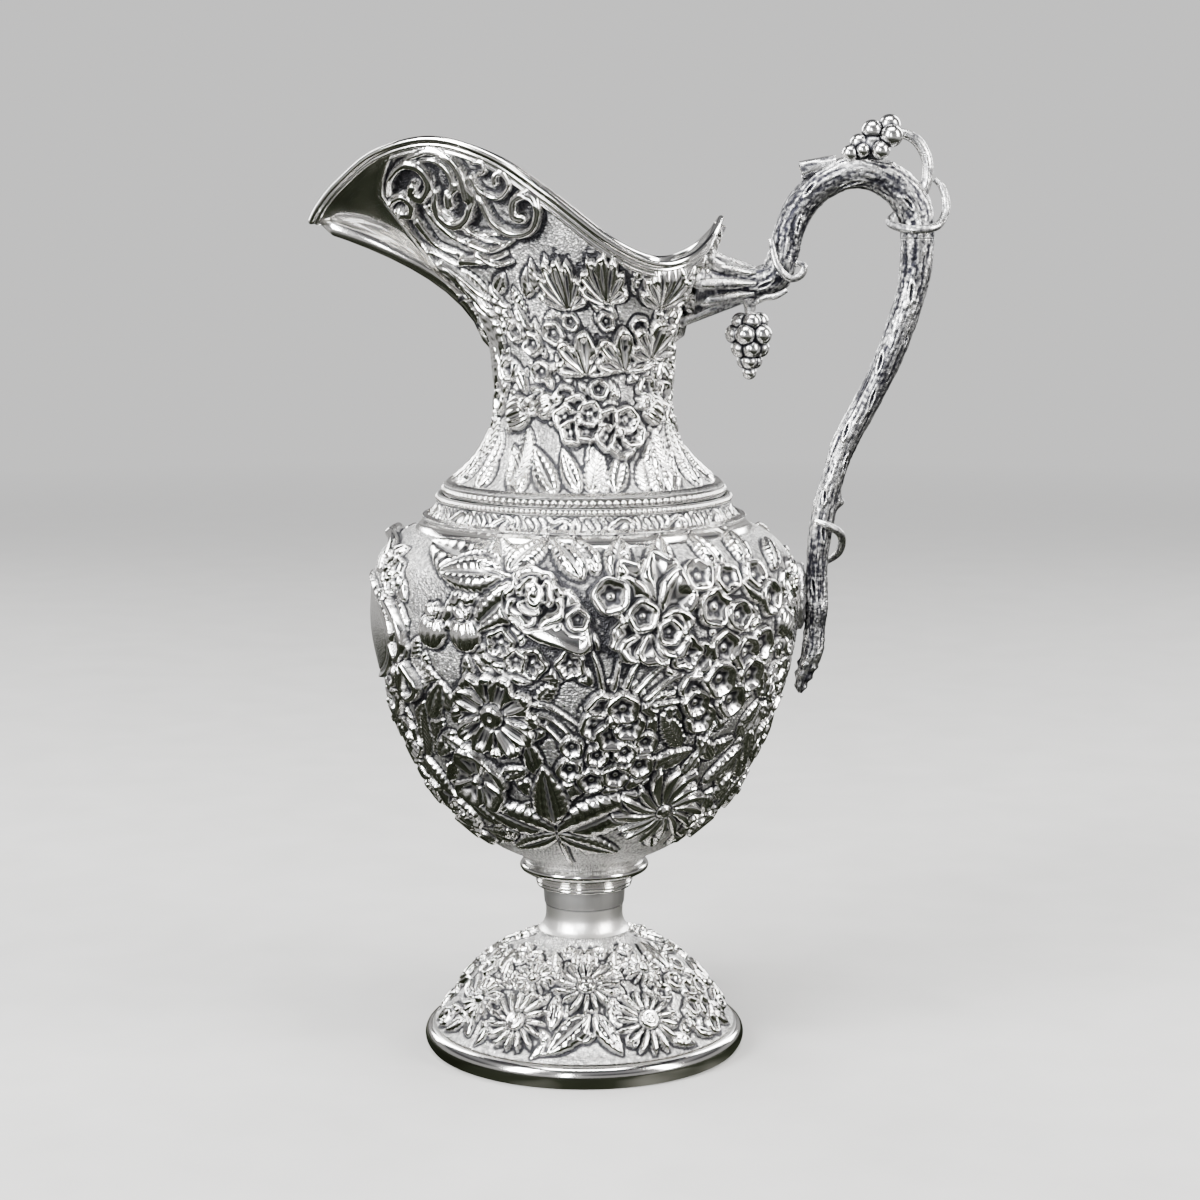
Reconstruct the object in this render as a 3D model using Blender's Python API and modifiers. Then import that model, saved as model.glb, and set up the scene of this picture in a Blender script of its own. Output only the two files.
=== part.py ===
"""Silver water pitcher: raised body on a turned foot, spouted neck and a cast grapevine handle.

Metres, +Z up. The pitcher's own axis is vertical; the spout points to -X and the handle to +X.
The origin is under the middle of the whole outline, spout tip to handle, on the standing plane.
"""

import math

import bmesh
import bpy
from mathutils import Vector

MM = 0.001

# ---------------------------------------------------------------- driving dimensions
GAP = 0.3 * MM  # clearance that soldered neighbours keep
WALL = 1.5 * MM  # raised and chased sheet

FOOT_R = 61.0 * MM
FOOT_RIM_H = 8.4 * MM
FOOT_RIM_W = 6.8 * MM  # radial width of the standing face and of the moulding above it
DOME_H = 36.0 * MM
STEM_R = 14.8 * MM
STEM_H = 16.4 * MM
FILLET_R = 22.0 * MM
FILLET_H = 5.6 * MM
KNOP_R = 24.4 * MM
KNOP_H = 4.0 * MM

BODY_R = 80.5 * MM
BODY_H = 131.0 * MM
SHOULDER_R = 60.3 * MM  # opening of the body under the shoulder band
BAND_H = 5.6 * MM
BAND_TOP_R = 54.8 * MM
LOWER_BEAD_R = 1.1 * MM
UPPER_BEAD_R = 1.5 * MM

NECK_BASE_R = 52.2 * MM
NECK_R = 33.6 * MM
NECK_H = 43.0 * MM  # from the upper beads to the waist of the neck
THROAT_H = 54.0 * MM  # from the waist to the tip of the lip at the handle
SPOUT_REACH = 99.6 * MM  # axis to the middle of the rim at the spout's tip
LIP_REACH = 50.0 * MM  # axis to the middle of the rim at the handle
MOUTH_W = 82.0 * MM
MOUTH_RIM_R = 1.7 * MM
RIM_SEAT = 0.6 * MM  # the rim clears the sheet by this, so that it does so at the tight tip too

BRANCH_R = 6.2 * MM  # handle branch at the elbow
SHAFT_R = 4.3 * MM  # handle branch beside the body
HANDLE_SPAN = 72.6 * MM  # lip of the mouth to the middle of the branch at its widest
PAD_T = 1.5 * MM
TENDRIL_R = 1.5 * MM
TWIG_R = 3.2 * MM
SQUARE_END = 0.8 * MM  # straight end of a branch casting where it meets the next
BERRY_R = 4.0 * MM
TOP_GRAPES_SETBACK = 14.52 * MM  # middle of the top grapes, in from the branch at its widest

COLLAR = 0.8 * MM  # upright edge where one sheet piece seats on another
TURNS = 36  # facets round a turned piece
THROAT_ROWS = 7  # rows of the neck sheet from the waist to the rim
RIM_STEPS = 2  # stations between the points that set out the mouth

# ---------------------------------------------------------------- levels up the axis
DOME_Z = FOOT_RIM_H + GAP
STEM_Z = DOME_Z + DOME_H + GAP
FILLET_Z = STEM_Z + STEM_H + GAP
KNOP_Z = FILLET_Z + FILLET_H + GAP
BODY_Z = KNOP_Z + KNOP_H + GAP
BAND_Z = BODY_Z + BODY_H + GAP
LOWER_BEAD_Z = BAND_Z + BAND_H + GAP + LOWER_BEAD_R
UPPER_BEAD_Z = LOWER_BEAD_Z + LOWER_BEAD_R + GAP + UPPER_BEAD_R
NECK_Z = UPPER_BEAD_Z + UPPER_BEAD_R + GAP
WAIST_Z = NECK_Z + NECK_H
LIP_Z = WAIST_Z + THROAT_H
BELLY_Z = BODY_Z + 0.76 * BODY_H
ROOT_Z = LIP_Z - 23.0 * MM
BRANCH_X = LIP_REACH + HANDLE_SPAN

SILVER = (0.80, 0.79, 0.77, 1.0)
OXIDISED = (0.56, 0.56, 0.56, 1.0)


# ---------------------------------------------------------------- curves
def catmull(points, per_span):
    """Points along a smooth curve through the given tuples, per_span steps between each pair."""
    ends = [points[0], *points, points[-1]]
    out = []
    for a, b, c, d in zip(ends, ends[1:], ends[2:], ends[3:]):
        for step in range(per_span):
            t = step / per_span
            weights = (
                (-t + 2 * t**2 - t**3) / 2,
                (2 - 5 * t**2 + 3 * t**3) / 2,
                (t + 4 * t**2 - 3 * t**3) / 2,
                (-(t**2) + t**3) / 2,
            )
            out.append(tuple(sum(w * p[k] for w, p in zip(weights, (a, b, c, d))) for k in range(len(a))))
    out.append(tuple(points[-1]))
    return out


def bezier(p0, p1, p2, p3, t):
    s = 1 - t
    return p0 * s**3 + p1 * (3 * s * s * t) + p2 * (3 * s * t * t) + p3 * t**3


def blend(a, b, t):
    return a + (b - a) * t


# ---------------------------------------------------------------- scene and materials
def clear_scene():
    for old in list(bpy.data.objects):
        bpy.data.objects.remove(old, do_unlink=True)


def collection(name):
    made = bpy.data.collections.new(name)
    bpy.context.scene.collection.children.link(made)
    return made


def silver(name, colour, roughness):
    material = bpy.data.materials.new(name)
    material.use_nodes = True
    shader = material.node_tree.nodes["Principled BSDF"]
    shader.inputs["Base Color"].default_value = colour
    shader.inputs["Roughness"].default_value = roughness
    shader.inputs["Metallic"].default_value = 1.0
    return material


clear_scene()
PARTS = collection("silver_water_pitcher")
CUTTERS = collection("cutters")


def polished(name):
    return silver(name + "_polished", SILVER, 0.12)


def chased(name):
    return silver(name + "_chased", SILVER, 0.25)


def cast(name):
    return silver(name + "_cast", OXIDISED, 0.38)


def add_part(name, data, finish):
    obj = bpy.data.objects.new(name, data)
    PARTS.objects.link(obj)
    data.materials.append(finish(name))
    return obj


def add_cutter(name, data):
    obj = bpy.data.objects.new(name, data)
    CUTTERS.objects.link(obj)
    obj.hide_render = True
    obj.display_type = "WIRE"
    return obj


def cut(obj, cutter, operation="DIFFERENCE", solver="EXACT"):
    modifier = obj.modifiers.new(operation.lower() + "_" + cutter.name, "BOOLEAN")
    modifier.operation = operation
    modifier.object = cutter
    modifier.solver = solver


# ---------------------------------------------------------------- turned pieces
def turn(name, profile, finish, closed):
    """Revolves a profile of (radius, height) points, which runs down its outer side."""
    mesh = bpy.data.meshes.new(name)
    edges = [(i, i + 1) for i in range(len(profile) - 1)]
    if closed:
        edges.append((len(profile) - 1, 0))
    mesh.from_pydata([(r, 0.0, z) for r, z in profile], edges, [])
    obj = add_part(name, mesh, finish)
    screw = obj.modifiers.new("turn", "SCREW")
    screw.steps = TURNS
    screw.render_steps = TURNS
    screw.use_merge_vertices = True
    screw.merge_threshold = 0.00005
    screw.use_smooth_shade = True
    return obj


def turned_shell(name, profile, finish):
    """The same for sheet metal: the profile is the outer face, and the wall lies inside it."""
    obj = turn(name, profile, finish, closed=False)
    shell = obj.modifiers.new("wall", "SOLIDIFY")
    shell.thickness = WALL
    shell.offset = -1
    shell.use_even_offset = True
    return obj


def foot_rim():
    inner = FOOT_R - FOOT_RIM_W
    groove = FOOT_R - FOOT_RIM_W / 2
    half_round = [
        (groove + (FOOT_R - groove) * math.sin(a), FOOT_RIM_H / 2 * (1 + math.cos(a)))
        for a in (math.radians(d) for d in (0, 35, 70, 105, 140))
    ]
    foot_edge = (FOOT_R - FOOT_RIM_W / 4, 0.0)
    profile = [(inner, FOOT_RIM_H), *half_round, foot_edge, (inner, 0.0)]
    turn("foot_rim", profile, polished, closed=True)


def dome_profile():
    foot = FOOT_R - FOOT_RIM_W * 0.55
    shape = [(0.0, 1.0), (0.06, 0.93), (0.21, 0.87), (0.47, 0.74), (0.73, 0.48), (0.95, 0.13)]
    top = STEM_R + 0.8 * MM
    slope = [(blend(top, foot, s), DOME_Z + DOME_H * h) for s, h in shape]
    return [*slope, (foot, DOME_Z + COLLAR), (foot, DOME_Z)]


def stem_profile():
    shape = [(1.05, 1.0), (1.04, 0.7), (1.0, 0.12), (1.01, 0.0)]
    return [(STEM_R * s, STEM_Z + STEM_H * h) for s, h in shape]


def foot():
    foot_rim()
    turned_shell("foot_dome", dome_profile(), chased)
    turned_shell("foot_stem", stem_profile(), chased)
    low = STEM_R * 1.1
    bore = STEM_R - WALL
    flare = [
        (FILLET_R, FILLET_Z + FILLET_H),
        (blend(low, FILLET_R, 0.45), FILLET_Z + FILLET_H * 0.55),
        (blend(low, FILLET_R, 0.35), FILLET_Z + FILLET_H * 0.4),
        (blend(low, FILLET_R, 0.2), FILLET_Z),
    ]
    turn("stem_fillet", [(bore, FILLET_Z + FILLET_H), *flare, (bore, FILLET_Z)], polished, closed=True)
    half = KNOP_H / 2
    knop = [(KNOP_R - half + half * math.sin(a), KNOP_Z + half + half * math.cos(a))
            for a in (math.radians(d) for d in (0, 45, 90, 135, 180))]
    turn("knop_ring", [(bore, KNOP_Z + KNOP_H), *knop, (bore, KNOP_Z)], polished, closed=True)


# ---------------------------------------------------------------- body and shoulder
BODY_SHAPE = [
    (-1.0, 1.0), (-0.69, 0.98), (-0.35, 0.945), (-0.09, 0.888), (0.0, 0.79), (0.0, 0.68),
    (-0.18, 0.545), (-0.45, 0.42), (-0.72, 0.325), (-1.13, 0.205), (-1.61, 0.125), (-2.24, 0.047),
]  # (inset from the belly in shoulder insets, share of the height), top to bottom


def body_profile():
    inset = BODY_R - SHOULDER_R
    return [(BODY_R + s * inset, BODY_Z + h * (BODY_H - COLLAR)) for s, h in BODY_SHAPE]


def body():
    base = KNOP_R - KNOP_H / 2
    collar = (SHOULDER_R, BODY_Z + BODY_H)
    turned_shell("body_shell", [collar, *body_profile(), (base, BODY_Z), (0.0, BODY_Z)], chased)
    band = [
        (BAND_TOP_R, BAND_Z + BAND_H),
        (blend(SHOULDER_R, BAND_TOP_R, 0.6), BAND_Z + BAND_H * 0.5),
        (SHOULDER_R, BAND_Z + COLLAR),
        (SHOULDER_R, BAND_Z),
    ]
    turned_shell("shoulder_band", band, chased)


def bead_wire(name, ring_r, height, wire_r):
    bpy.ops.mesh.primitive_torus_add(
        major_radius=ring_r, minor_radius=wire_r, major_segments=TURNS, minor_segments=6, location=(0, 0, height)
    )
    obj = bpy.context.active_object
    obj.name = name
    obj.data.materials.append(polished(name))
    obj.data.shade_smooth()
    for holder in list(obj.users_collection):
        holder.objects.unlink(obj)
    PARTS.objects.link(obj)


def beads():
    bead_wire("lower_bead_wire", BAND_TOP_R - WALL / 2, LOWER_BEAD_Z, LOWER_BEAD_R)
    bead_wire("upper_bead_wire", NECK_BASE_R - WALL / 2, UPPER_BEAD_Z, UPPER_BEAD_R)


# ---------------------------------------------------------------- neck, spout and mouth rim
def mouth_half():
    """Half of the mouth's rim from the handle to the spout's tip: (x, y, z, flare) with y >= 0.

    Flare is how far the sheet leans out from the vertical under that point of the rim, in degrees.
    """
    w = MOUTH_W / 2
    return [
        (LIP_REACH, 0.0, LIP_Z, 21.0),
        (0.93 * LIP_REACH, 0.39 * w, LIP_Z - 5.7 * MM, 21.0),
        (0.79 * LIP_REACH, 0.68 * w, LIP_Z - 12.4 * MM, 20.0),
        (0.61 * LIP_REACH, 0.85 * w, LIP_Z - 15.6 * MM, 18.0),
        (0.42 * LIP_REACH, 0.94 * w, LIP_Z - 14.2 * MM, 16.0),
        (0.15 * LIP_REACH, w, LIP_Z - 6.8 * MM, 15.0),
        (-0.13 * SPOUT_REACH, w, LIP_Z + 9.0 * MM, 16.0),
        (-0.33 * SPOUT_REACH, 0.92 * w, LIP_Z + 22.2 * MM, 18.0),
        (-0.54 * SPOUT_REACH, 0.73 * w, LIP_Z + 28.2 * MM, 22.0),
        (-0.74 * SPOUT_REACH, 0.51 * w, LIP_Z + 23.8 * MM, 31.0),
        (-0.88 * SPOUT_REACH, 0.32 * w, LIP_Z + 13.6 * MM, 45.0),
        (-0.96 * SPOUT_REACH, 0.15 * w, LIP_Z + 5.2 * MM, 62.0),
        (-SPOUT_REACH, 0.0, LIP_Z - 1.0 * MM, 77.0),
    ]


def mouth_rim_points(per_span):
    """The whole rim, once round, as (position, lean) pairs, counted from the handle past +Y."""
    half = catmull(mouth_half(), per_span)
    other = [(x, -y, z, lean) for x, y, z, lean in reversed(half[1:-1])]
    return [(Vector(p[:3]), math.radians(p[3])) for p in [*half, *other]]


def neck_rows(offset):
    """Rows of points up the neck's outer face, each once round, pushed outwards by offset."""
    rim = mouth_rim_points(RIM_STEPS)
    count = len(rim)
    lengths = [0.0]
    for index in range(1, count + 1):
        lengths.append(lengths[-1] + (rim[index % count][0] - rim[index - 1][0]).length)
    columns = []
    for index, (point, lean) in enumerate(rim):
        plan = Vector((point.x, point.y, 0.0))
        around = math.atan2(point.y, point.x) % math.tau
        along = math.tau * lengths[index] / lengths[-1]
        turn_angle = (around + along) / 2
        tangent = rim[(index + 1) % count][0] - rim[index - 1][0]
        outward = Vector((tangent.y, -tangent.x, 0.0)).normalized()
        if outward.dot(plan) < 0:
            outward = -outward
        up = outward * math.sin(lean) + Vector((0.0, 0.0, math.cos(lean)))
        drop = (up - tangent * (up.dot(tangent) / tangent.length_squared)).normalized()
        face = tangent.normalized().cross(drop)
        edge = point - drop * (MOUTH_RIM_R + RIM_SEAT) + face * (WALL / 2 + offset)
        radial = Vector((math.cos(turn_angle), math.sin(turn_angle), 0.0))
        columns.append(neck_column(edge, up, radial, offset))
    return [list(row) for row in zip(*columns)]


def neck_column(top, up, radial, offset):
    """One line up the neck: a flared skirt, the waist, then a curve that leans out to its top."""
    skirt = [(0.0, 1.0), (COLLAR / NECK_H, 1.0), (0.13, 0.62), (0.28, 0.3), (0.5, 0.09), (0.8, 0.0)]
    column = []
    for height, flare in skirt:
        radius = blend(NECK_R, NECK_BASE_R, flare) + offset
        column.append(radial * radius + Vector((0.0, 0.0, NECK_Z + NECK_H * height)))
    waist = radial * (NECK_R + offset) + Vector((0.0, 0.0, WAIST_Z))
    reach = (top - waist).length
    lift = waist + Vector((0.0, 0.0, 0.34 * reach))
    hold = top - up * (0.42 * reach)
    for step in range(THROAT_ROWS):
        column.append(bezier(waist, lift, hold, top, step / (THROAT_ROWS - 1)))
    return column


def grid_mesh(name, rows, closed):
    """A smooth open sheet through rows of points; closed joins each row's ends."""
    width = len(rows[0])
    faces = []
    for r in range(len(rows) - 1):
        for c in range(width if closed else width - 1):
            d = (c + 1) % width
            faces.append((r * width + c, r * width + d, (r + 1) * width + d, (r + 1) * width + c))
    mesh = bpy.data.meshes.new(name)
    mesh.from_pydata([point for row in rows for point in row], [], faces)
    mesh.shade_smooth()
    return mesh


def wall_inside(obj, thickness):
    shell = obj.modifiers.new("wall", "SOLIDIFY")
    shell.thickness = thickness
    shell.offset = -1


def neck():
    sheet = grid_mesh("neck_shell", neck_rows(0.0), closed=True)
    wall_inside(add_part("neck_shell", sheet, chased), WALL)
    rim = [(*point, 1.0) for point, lean in mouth_rim_points(RIM_STEPS)]
    tube("mouth_rim", rim, MOUTH_RIM_R, polished, sides=8, cyclic=True)


# ---------------------------------------------------------------- rods, wires and branches
def tube_data(name, stations, radius, sides, cyclic=False):
    """A round bar along (x, y, z, radius factor) stations, with flat caps."""
    data = bpy.data.curves.new(name, "CURVE")
    data.dimensions = "3D"
    data.bevel_depth = radius
    data.bevel_resolution = (sides - 4) // 2
    data.use_fill_caps = True
    data.twist_mode = "MINIMUM"
    spline = data.splines.new("POLY")
    spline.points.add(len(stations) - 1)
    for point, (x, y, z, factor) in zip(spline.points, stations):
        point.co = (x, y, z, 1.0)
        point.radius = factor
    spline.use_cyclic_u = cyclic
    spline.use_smooth = True
    return data


def tube(name, stations, radius, finish, sides=8, cyclic=False):
    return add_part(name, tube_data(name, stations, radius, sides, cyclic), finish)


def solid_tube_mesh(name, stations, radius, sides):
    """The same bar as a closed mesh, for a piece that is cut or for a cutter."""
    curve = add_cutter(name + "_path", tube_data(name, stations, radius, sides))
    bpy.context.view_layer.update()
    mesh = bpy.data.meshes.new_from_object(curve.evaluated_get(bpy.context.evaluated_depsgraph_get()))
    bpy.data.objects.remove(curve, do_unlink=True)
    mesh.name = name
    mesh.materials.clear()
    work = bmesh.new()
    work.from_mesh(mesh)
    bmesh.ops.remove_doubles(work, verts=work.verts, dist=0.00002)
    bmesh.ops.recalc_face_normals(work, faces=work.faces)
    work.to_mesh(mesh)
    work.free()
    mesh.shade_smooth()
    return mesh


# ---------------------------------------------------------------- handle
def arch_points():
    """The branch from the neck, round the elbow and over the top: (x, y, z, radius in metres)."""
    x0, z0 = LIP_REACH, ROOT_Z
    b = BRANCH_R
    rise = BRANCH_X - x0
    return [
        (x0 - 9.0 * MM, 0, z0 + 0.6 * MM, 2.15 * b),
        (x0 - 4.0 * MM, 0, z0 + 0.4 * MM, 1.7 * b),
        (x0 + 1.0 * MM, 0, z0, 1.32 * b),
        (x0 + 0.10 * rise, 0, z0 - 0.5 * MM, 1.08 * b),
        (x0 + 0.19 * rise, 0, z0 - 0.4 * MM, b),
        (x0 + 0.28 * rise, 0, z0 + 2.6 * MM, b),
        (x0 + 0.325 * rise, 0, z0 + 10.5 * MM, 0.92 * b),
        (x0 + 0.35 * rise, 0, z0 + 19.0 * MM, 0.94 * b),
        (x0 + 0.41 * rise, 0, z0 + 28.5 * MM, 0.97 * b),
        (x0 + 0.52 * rise, 0, z0 + 36.0 * MM, 0.94 * b),
        (x0 + 0.66 * rise, 0, z0 + 40.0 * MM, 0.94 * b),
        (x0 + 0.80 * rise, 0, z0 + 38.8 * MM, 0.98 * b),
        (x0 + 0.915 * rise, 0, z0 + 33.5 * MM, 1.03 * b),
        (x0 + 0.985 * rise, 0, z0 + 25.5 * MM, 1.06 * b),
    ]


def shaft_points():
    """Down from the arch to the belly: each point is a share of the drop and of the way in."""
    top = (BRANCH_X, ROOT_Z + 16.0 * MM)
    pad = (BODY_R + GAP + PAD_T + GAP + SHAFT_R, BELLY_Z + 8.6 * MM)
    shape = [
        (0.0, 0.0, 1.45), (0.09, 0.02, 1.35), (0.17, 0.07, 1.26), (0.25, 0.16, 1.23), (0.36, 0.30, 1.17),
        (0.47, 0.48, 1.13), (0.60, 0.71, 1.05), (0.69, 0.82, 1.0), (0.80, 0.92, 1.02), (0.92, 0.985, 0.96),
        (1.0, 1.0, 0.95),
    ]
    out = []
    for drop, inward, thick in shape:
        x = blend(top[0], pad[0], inward)
        z = blend(top[1], pad[1], drop)
        out.append((x, 0.0, z, thick * SHAFT_R))
    return out


def tail_points():
    """The end of the branch: past the pad, a knot, then a hanging bud."""
    x0 = BODY_R + GAP + PAD_T + GAP + SHAFT_R
    z0 = BELLY_Z
    s = SHAFT_R
    return [
        (x0, 0, z0, s),
        (x0 + 0.3 * MM, 0, z0 - 4.0 * MM, 1.06 * s),
        (x0 - 0.2 * MM, 0, z0 - 11.0 * MM, 0.93 * s),
        (x0 - 1.0 * MM, 0, z0 - 19.0 * MM, 1.0 * s),
        (x0 - 3.0 * MM, 0, z0 - 26.0 * MM, 0.8 * s),
        (x0 - 4.8 * MM, 0, z0 - 31.5 * MM, 0.55 * s),
        (x0 - 5.6 * MM, 0, z0 - 36.0 * MM, 0.2 * s),
    ]


def branch():
    """The whole branch as smooth stations, with the station index at each joint between castings."""
    per_span = 2
    arch, shaft, tail = arch_points(), shaft_points(), tail_points()
    stations = catmull([*arch, *shaft, *tail], per_span)
    joints = {
        "neck": 0,
        "calyx": 2 * per_span,
        "elbow": 6 * per_span,
        "crown": len(arch) * per_span,
        "belly": (len(arch) + len(shaft) - 1) * per_span,
        "tip": len(stations) - 1,
    }
    return stations, joints


def stretch(stations, start, end, grow=0.0):
    """The stations from start to end as radius factors, ended half a gap short of each joint.

    Both castings at a joint end square to the branch there, so their faces are parallel.
    """
    faces, squares = [], []
    for index, into in ((start, 1), (end, -1)):
        before = Vector(stations[max(index - 1, 0)][:3])
        after = Vector(stations[min(index + 1, len(stations) - 1)][:3])
        along = (after - before).normalized() * into
        joint = Vector(stations[index][:3])
        faces.append((*(joint + along * (GAP / 2)), stations[index][3]))
        squares.append((*(joint + along * (GAP / 2 + SQUARE_END)), stations[index][3]))
    points = [faces[0], squares[0], *stations[start + 1:end], squares[1], faces[1]]
    return [(x, y, z, (r + grow) / MM) for x, y, z, r in points]


def handle_branch():
    stations, joint = branch()
    calyx = add_part(
        "handle_calyx",
        solid_tube_mesh("handle_calyx", stretch(stations, joint["neck"], joint["calyx"]), MM, 12),
        cast,
    )
    beside = 4 * RIM_STEPS
    back = [[*row[-beside:], *row[:beside + 1]] for row in neck_rows(GAP)[-THROAT_ROWS:]]
    throat = add_cutter("neck_clearance", grid_mesh("neck_clearance", back, closed=False))
    wall_inside(throat, 6 * WALL)
    cut(calyx, throat, solver="MANIFOLD")
    tube("handle_root", stretch(stations, joint["calyx"], joint["elbow"]), MM, cast, sides=12)
    tube("handle_arch", stretch(stations, joint["elbow"], joint["crown"]), MM, cast, sides=12)
    tube("handle_shaft", stretch(stations, joint["crown"], joint["belly"]), MM, cast, sides=10)
    tube("handle_tail", stretch(stations, joint["belly"], joint["tip"]), MM, cast, sides=10)
    fat = solid_tube_mesh("branch_clearance", stretch(stations, joint["elbow"], joint["belly"], GAP), MM, 12)
    return add_cutter("branch_clearance", fat)


def handle_pad():
    """The solder pad: a leaf of metal bent round the belly where the branch lies against it."""
    half_angle = 0.075
    half_height = 12.0 * MM
    steps = 4
    rows = []
    for row in range(steps + 1):
        share = 2 * row / steps - 1
        z = BELLY_Z + 1.0 * MM + share * half_height
        radius = BODY_R + GAP
        width = half_angle * math.sqrt(max(0.06, 1 - share**2))
        angles = [width * (2 * column / steps - 1) for column in range(steps + 1)]
        rows.append([(radius * math.cos(a), radius * math.sin(a), z) for a in angles])
    pad = add_part("handle_lower_pad", grid_mesh("handle_lower_pad", rows, closed=False), cast)
    leaf = pad.modifiers.new("thickness", "SOLIDIFY")
    leaf.thickness = PAD_T
    leaf.offset = 1


# ---------------------------------------------------------------- grapes
def berry_mesh(name, berries):
    """One mesh of round berries, each (x, y, z, radius)."""
    work = bmesh.new()
    for x, y, z, radius in berries:
        made = bmesh.ops.create_uvsphere(work, u_segments=8, v_segments=6, radius=radius)
        bmesh.ops.translate(work, verts=made["verts"], vec=(x, y, z))
    mesh = bpy.data.meshes.new(name)
    work.to_mesh(mesh)
    work.free()
    mesh.shade_smooth()
    return mesh


def cluster(name, core, berries):
    """Berries joined into one casting by the core that they sit on."""
    obj = add_part(name, berry_mesh(name, [core]), cast)
    for index, berry in enumerate(berries):
        cut(obj, add_cutter(f"{name}_berry_{index}", berry_mesh(f"{name}_berry_{index}", [berry])), "UNION")
    return obj


def top_grapes(branch_cutter):
    x0, z0 = BRANCH_X - TOP_GRAPES_SETBACK, ROOT_Z + 45.0 * MM + BRANCH_R
    b = BERRY_R
    berries = [
        (x0 + 3.6 * MM, 0.4 * MM, z0 + 6.0 * MM, b),
        (x0 - 2.8 * MM, -0.6 * MM, z0 + 4.0 * MM, b),
        (x0 + 4.0 * MM, -4.0 * MM, z0 + 2.0 * MM, 1.03 * b),
        (x0 + 1.0 * MM, 4.2 * MM, z0 + 1.4 * MM, b),
        (x0 - 7.6 * MM, -1.6 * MM, z0 - 0.6 * MM, 0.88 * b),
        (x0 - 11.0 * MM, -3.0 * MM, z0 - 4.2 * MM, 0.76 * b),
        (x0, -5.0 * MM, z0 - 3.2 * MM, 0.84 * b),
        (x0 - 5.4 * MM, 4.0 * MM, z0 - 2.4 * MM, 0.88 * b),
    ]
    cut(cluster("top_grapes", (x0 - 2.6 * MM, 0.0, z0 - 1.6 * MM, 1.5 * b), berries), branch_cutter)


def hanging_grapes():
    x0 = LIP_REACH + 0.155 * (BRANCH_X - LIP_REACH)
    top = ROOT_Z - BRANCH_R - 8.0 * MM
    tiers = [
        (0.0, 4, 0.9, 0.85), (4.6, 5, 1.35, 0.95), (9.8, 5, 1.0, 0.85), (14.6, 3, 0.55, 0.72), (18.8, 1, 0.0, 0.66),
    ]  # (drop in mm, berries, ring radius and berry radius in berries)
    berries = []
    for number, (drop, count, ring, size) in enumerate(tiers):
        for index in range(count):
            angle = math.tau * (index + 0.1 + 0.37 * number) / count
            berries.append((
                x0 + ring * BERRY_R * math.cos(angle),
                ring * BERRY_R * math.sin(angle),
                top - drop * MM,
                size * BERRY_R,
            ))
    core = (x0, 0.0, top - 6.0 * MM, 1.5 * BERRY_R)
    cluster("hanging_grapes", core, berries)
    stalk_top = ROOT_Z - 1.05 * BRANCH_R - 0.5 * MM - GAP
    stalk = [
        (x0, 0, stalk_top - 0.2 * MM, 2.0),
        (x0, 0, stalk_top - 1.6 * MM, 1.4),
        (x0, 0, top + 0.85 * BERRY_R + GAP, 1.3),
    ]
    tube("grape_stalk", stalk, TENDRIL_R, cast)


# ---------------------------------------------------------------- twig and tendrils
def tendril(name, knots, radius=TENDRIL_R, sides=6):
    """A vine tendril through knots given as (x, y, z, thickness)."""
    return tube(name, catmull(knots, 3), radius, cast, sides=sides)


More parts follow.
